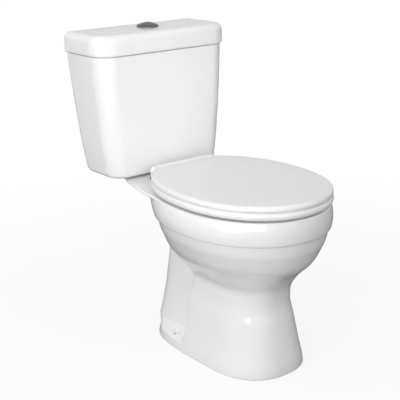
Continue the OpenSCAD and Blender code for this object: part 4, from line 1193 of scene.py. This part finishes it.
def makeFloor():
    half = room["floorHalf"]
    mesh = bpy.data.meshes.new("floor")
    corners = [(-half, -half, 0), (half, -half, 0), (half, half, 0), (-half, half, 0)]
    mesh.from_pydata(corners, [], [(0, 1, 2, 3)])
    floor = newObject("floor", mesh)
    floor.location.z = -room["floorDrop"]
    material = bpy.data.materials.new("paleFloor")
    material.use_nodes = True
    tree = material.node_tree
    tree.nodes.clear()
    link = tree.links.new
    matt = place(tree, "ShaderNodeBsdfDiffuse", Color=room["seenColor"])
    bounce = place(tree, "ShaderNodeBsdfDiffuse", Color=room["bounceColor"])
    white = place(tree, "ShaderNodeEmission", Color=plainWhite, Strength=1.0)
    seen = tree.nodes.new("ShaderNodeLightPath")
    where = tree.nodes.new("ShaderNodeNewGeometry")
    far = place(tree, "ShaderNodeVectorMath", operation="LENGTH")
    share = place(tree, "ShaderNodeMapRange", interpolation_type="SMOOTHSTEP", **{
        "From Min": room["nearEnd"], "From Max": room["farStart"],
        "To Min": room["whiteNear"], "To Max": room["whiteFar"],
    })
    link(where.outputs["Position"], far.inputs[0])
    link(far.outputs["Value"], share.inputs["Value"])
    blend = mixed(tree, share.outputs["Result"], matt, white)
    whole = mixed(tree, seen.outputs["Is Camera Ray"], bounce, blend)
    link(whole.outputs[0], tree.nodes.new("ShaderNodeOutputMaterial").inputs["Surface"])
    mesh.materials.append(material)


def makeWorld():
    world = bpy.data.worlds.new("studio")
    bpy.context.scene.world = world
    world.use_nodes = True
    tree = world.node_tree
    tree.nodes.clear()
    light = place(tree, "ShaderNodeBackground", Color=plainWhite, Strength=room["skyLight"])
    white = place(tree, "ShaderNodeBackground", Color=plainWhite, Strength=1.0)
    seen = tree.nodes.new("ShaderNodeLightPath")
    blend = mixed(tree, seen.outputs["Is Camera Ray"], light, white)
    tree.links.new(blend.outputs[0], tree.nodes.new("ShaderNodeOutputWorld").inputs["Surface"])


lamps = [
    # name, position, aim, size, watts, spread in degrees
    ("sideLamp", (-2.7, -0.7, 0.8), (0, -0.1, 0.35), (1.6, 1.2), 25, 180),
    ("frontLamp", (-2.0, -2.0, 0.9), (0, -0.1, 0.4), (1.2, 1.0), 13, 180),
    ("cisternLamp", (-1.1, -2.4, 1.3), (0.0, 0.18, 0.66), (0.3, 0.25), 0.33, 20),
]


def makeLamps():
    for name, position, aim, size, watts, spread in lamps:
        data = bpy.data.lights.new(name, "AREA")
        data.shape = "RECTANGLE"
        data.size, data.size_y = size
        data.energy = watts
        data.spread = math.radians(spread)
        lamp = newObject(name, data)
        lamp.location = position
        lamp.rotation_mode = "QUATERNION"
        lamp.rotation_quaternion = (Vector(aim) - Vector(position)).to_track_quat("-Z", "Y")


viewpoint = {
    "place": (-1.416798, -1.726612, 1.071921),
    "yaw": -38.51489,
    "pitch": -17.41649,
    "roll": -1.00168,
    "lens": 86.0271,
    "sensor": 36.0,
}


def makeCamera():
    yaw, pitch, roll = (math.radians(viewpoint[key]) for key in ("yaw", "pitch", "roll"))
    forward = Vector((-math.sin(yaw) * math.cos(pitch), math.cos(yaw) * math.cos(pitch), math.sin(pitch)))
    right = forward.cross(Vector((0, 0, 1))).normalized()
    up = right.cross(forward)
    right, up = right * math.cos(roll) + up * math.sin(roll), up * math.cos(roll) - right * math.sin(roll)
    data = bpy.data.cameras.new("camera")
    data.lens = viewpoint["lens"]
    data.sensor_width = viewpoint["sensor"]
    camera = newObject("camera", data)
    axes = Matrix((right, up, -forward)).transposed()
    camera.matrix_world = Matrix.Translation(viewpoint["place"]) @ axes.to_4x4()
    bpy.context.scene.camera = camera


makeFloor()
makeWorld()
makeLamps()
makeCamera()
bpy.context.scene.view_settings.view_transform = "Standard"
print("room, lamps and camera set")
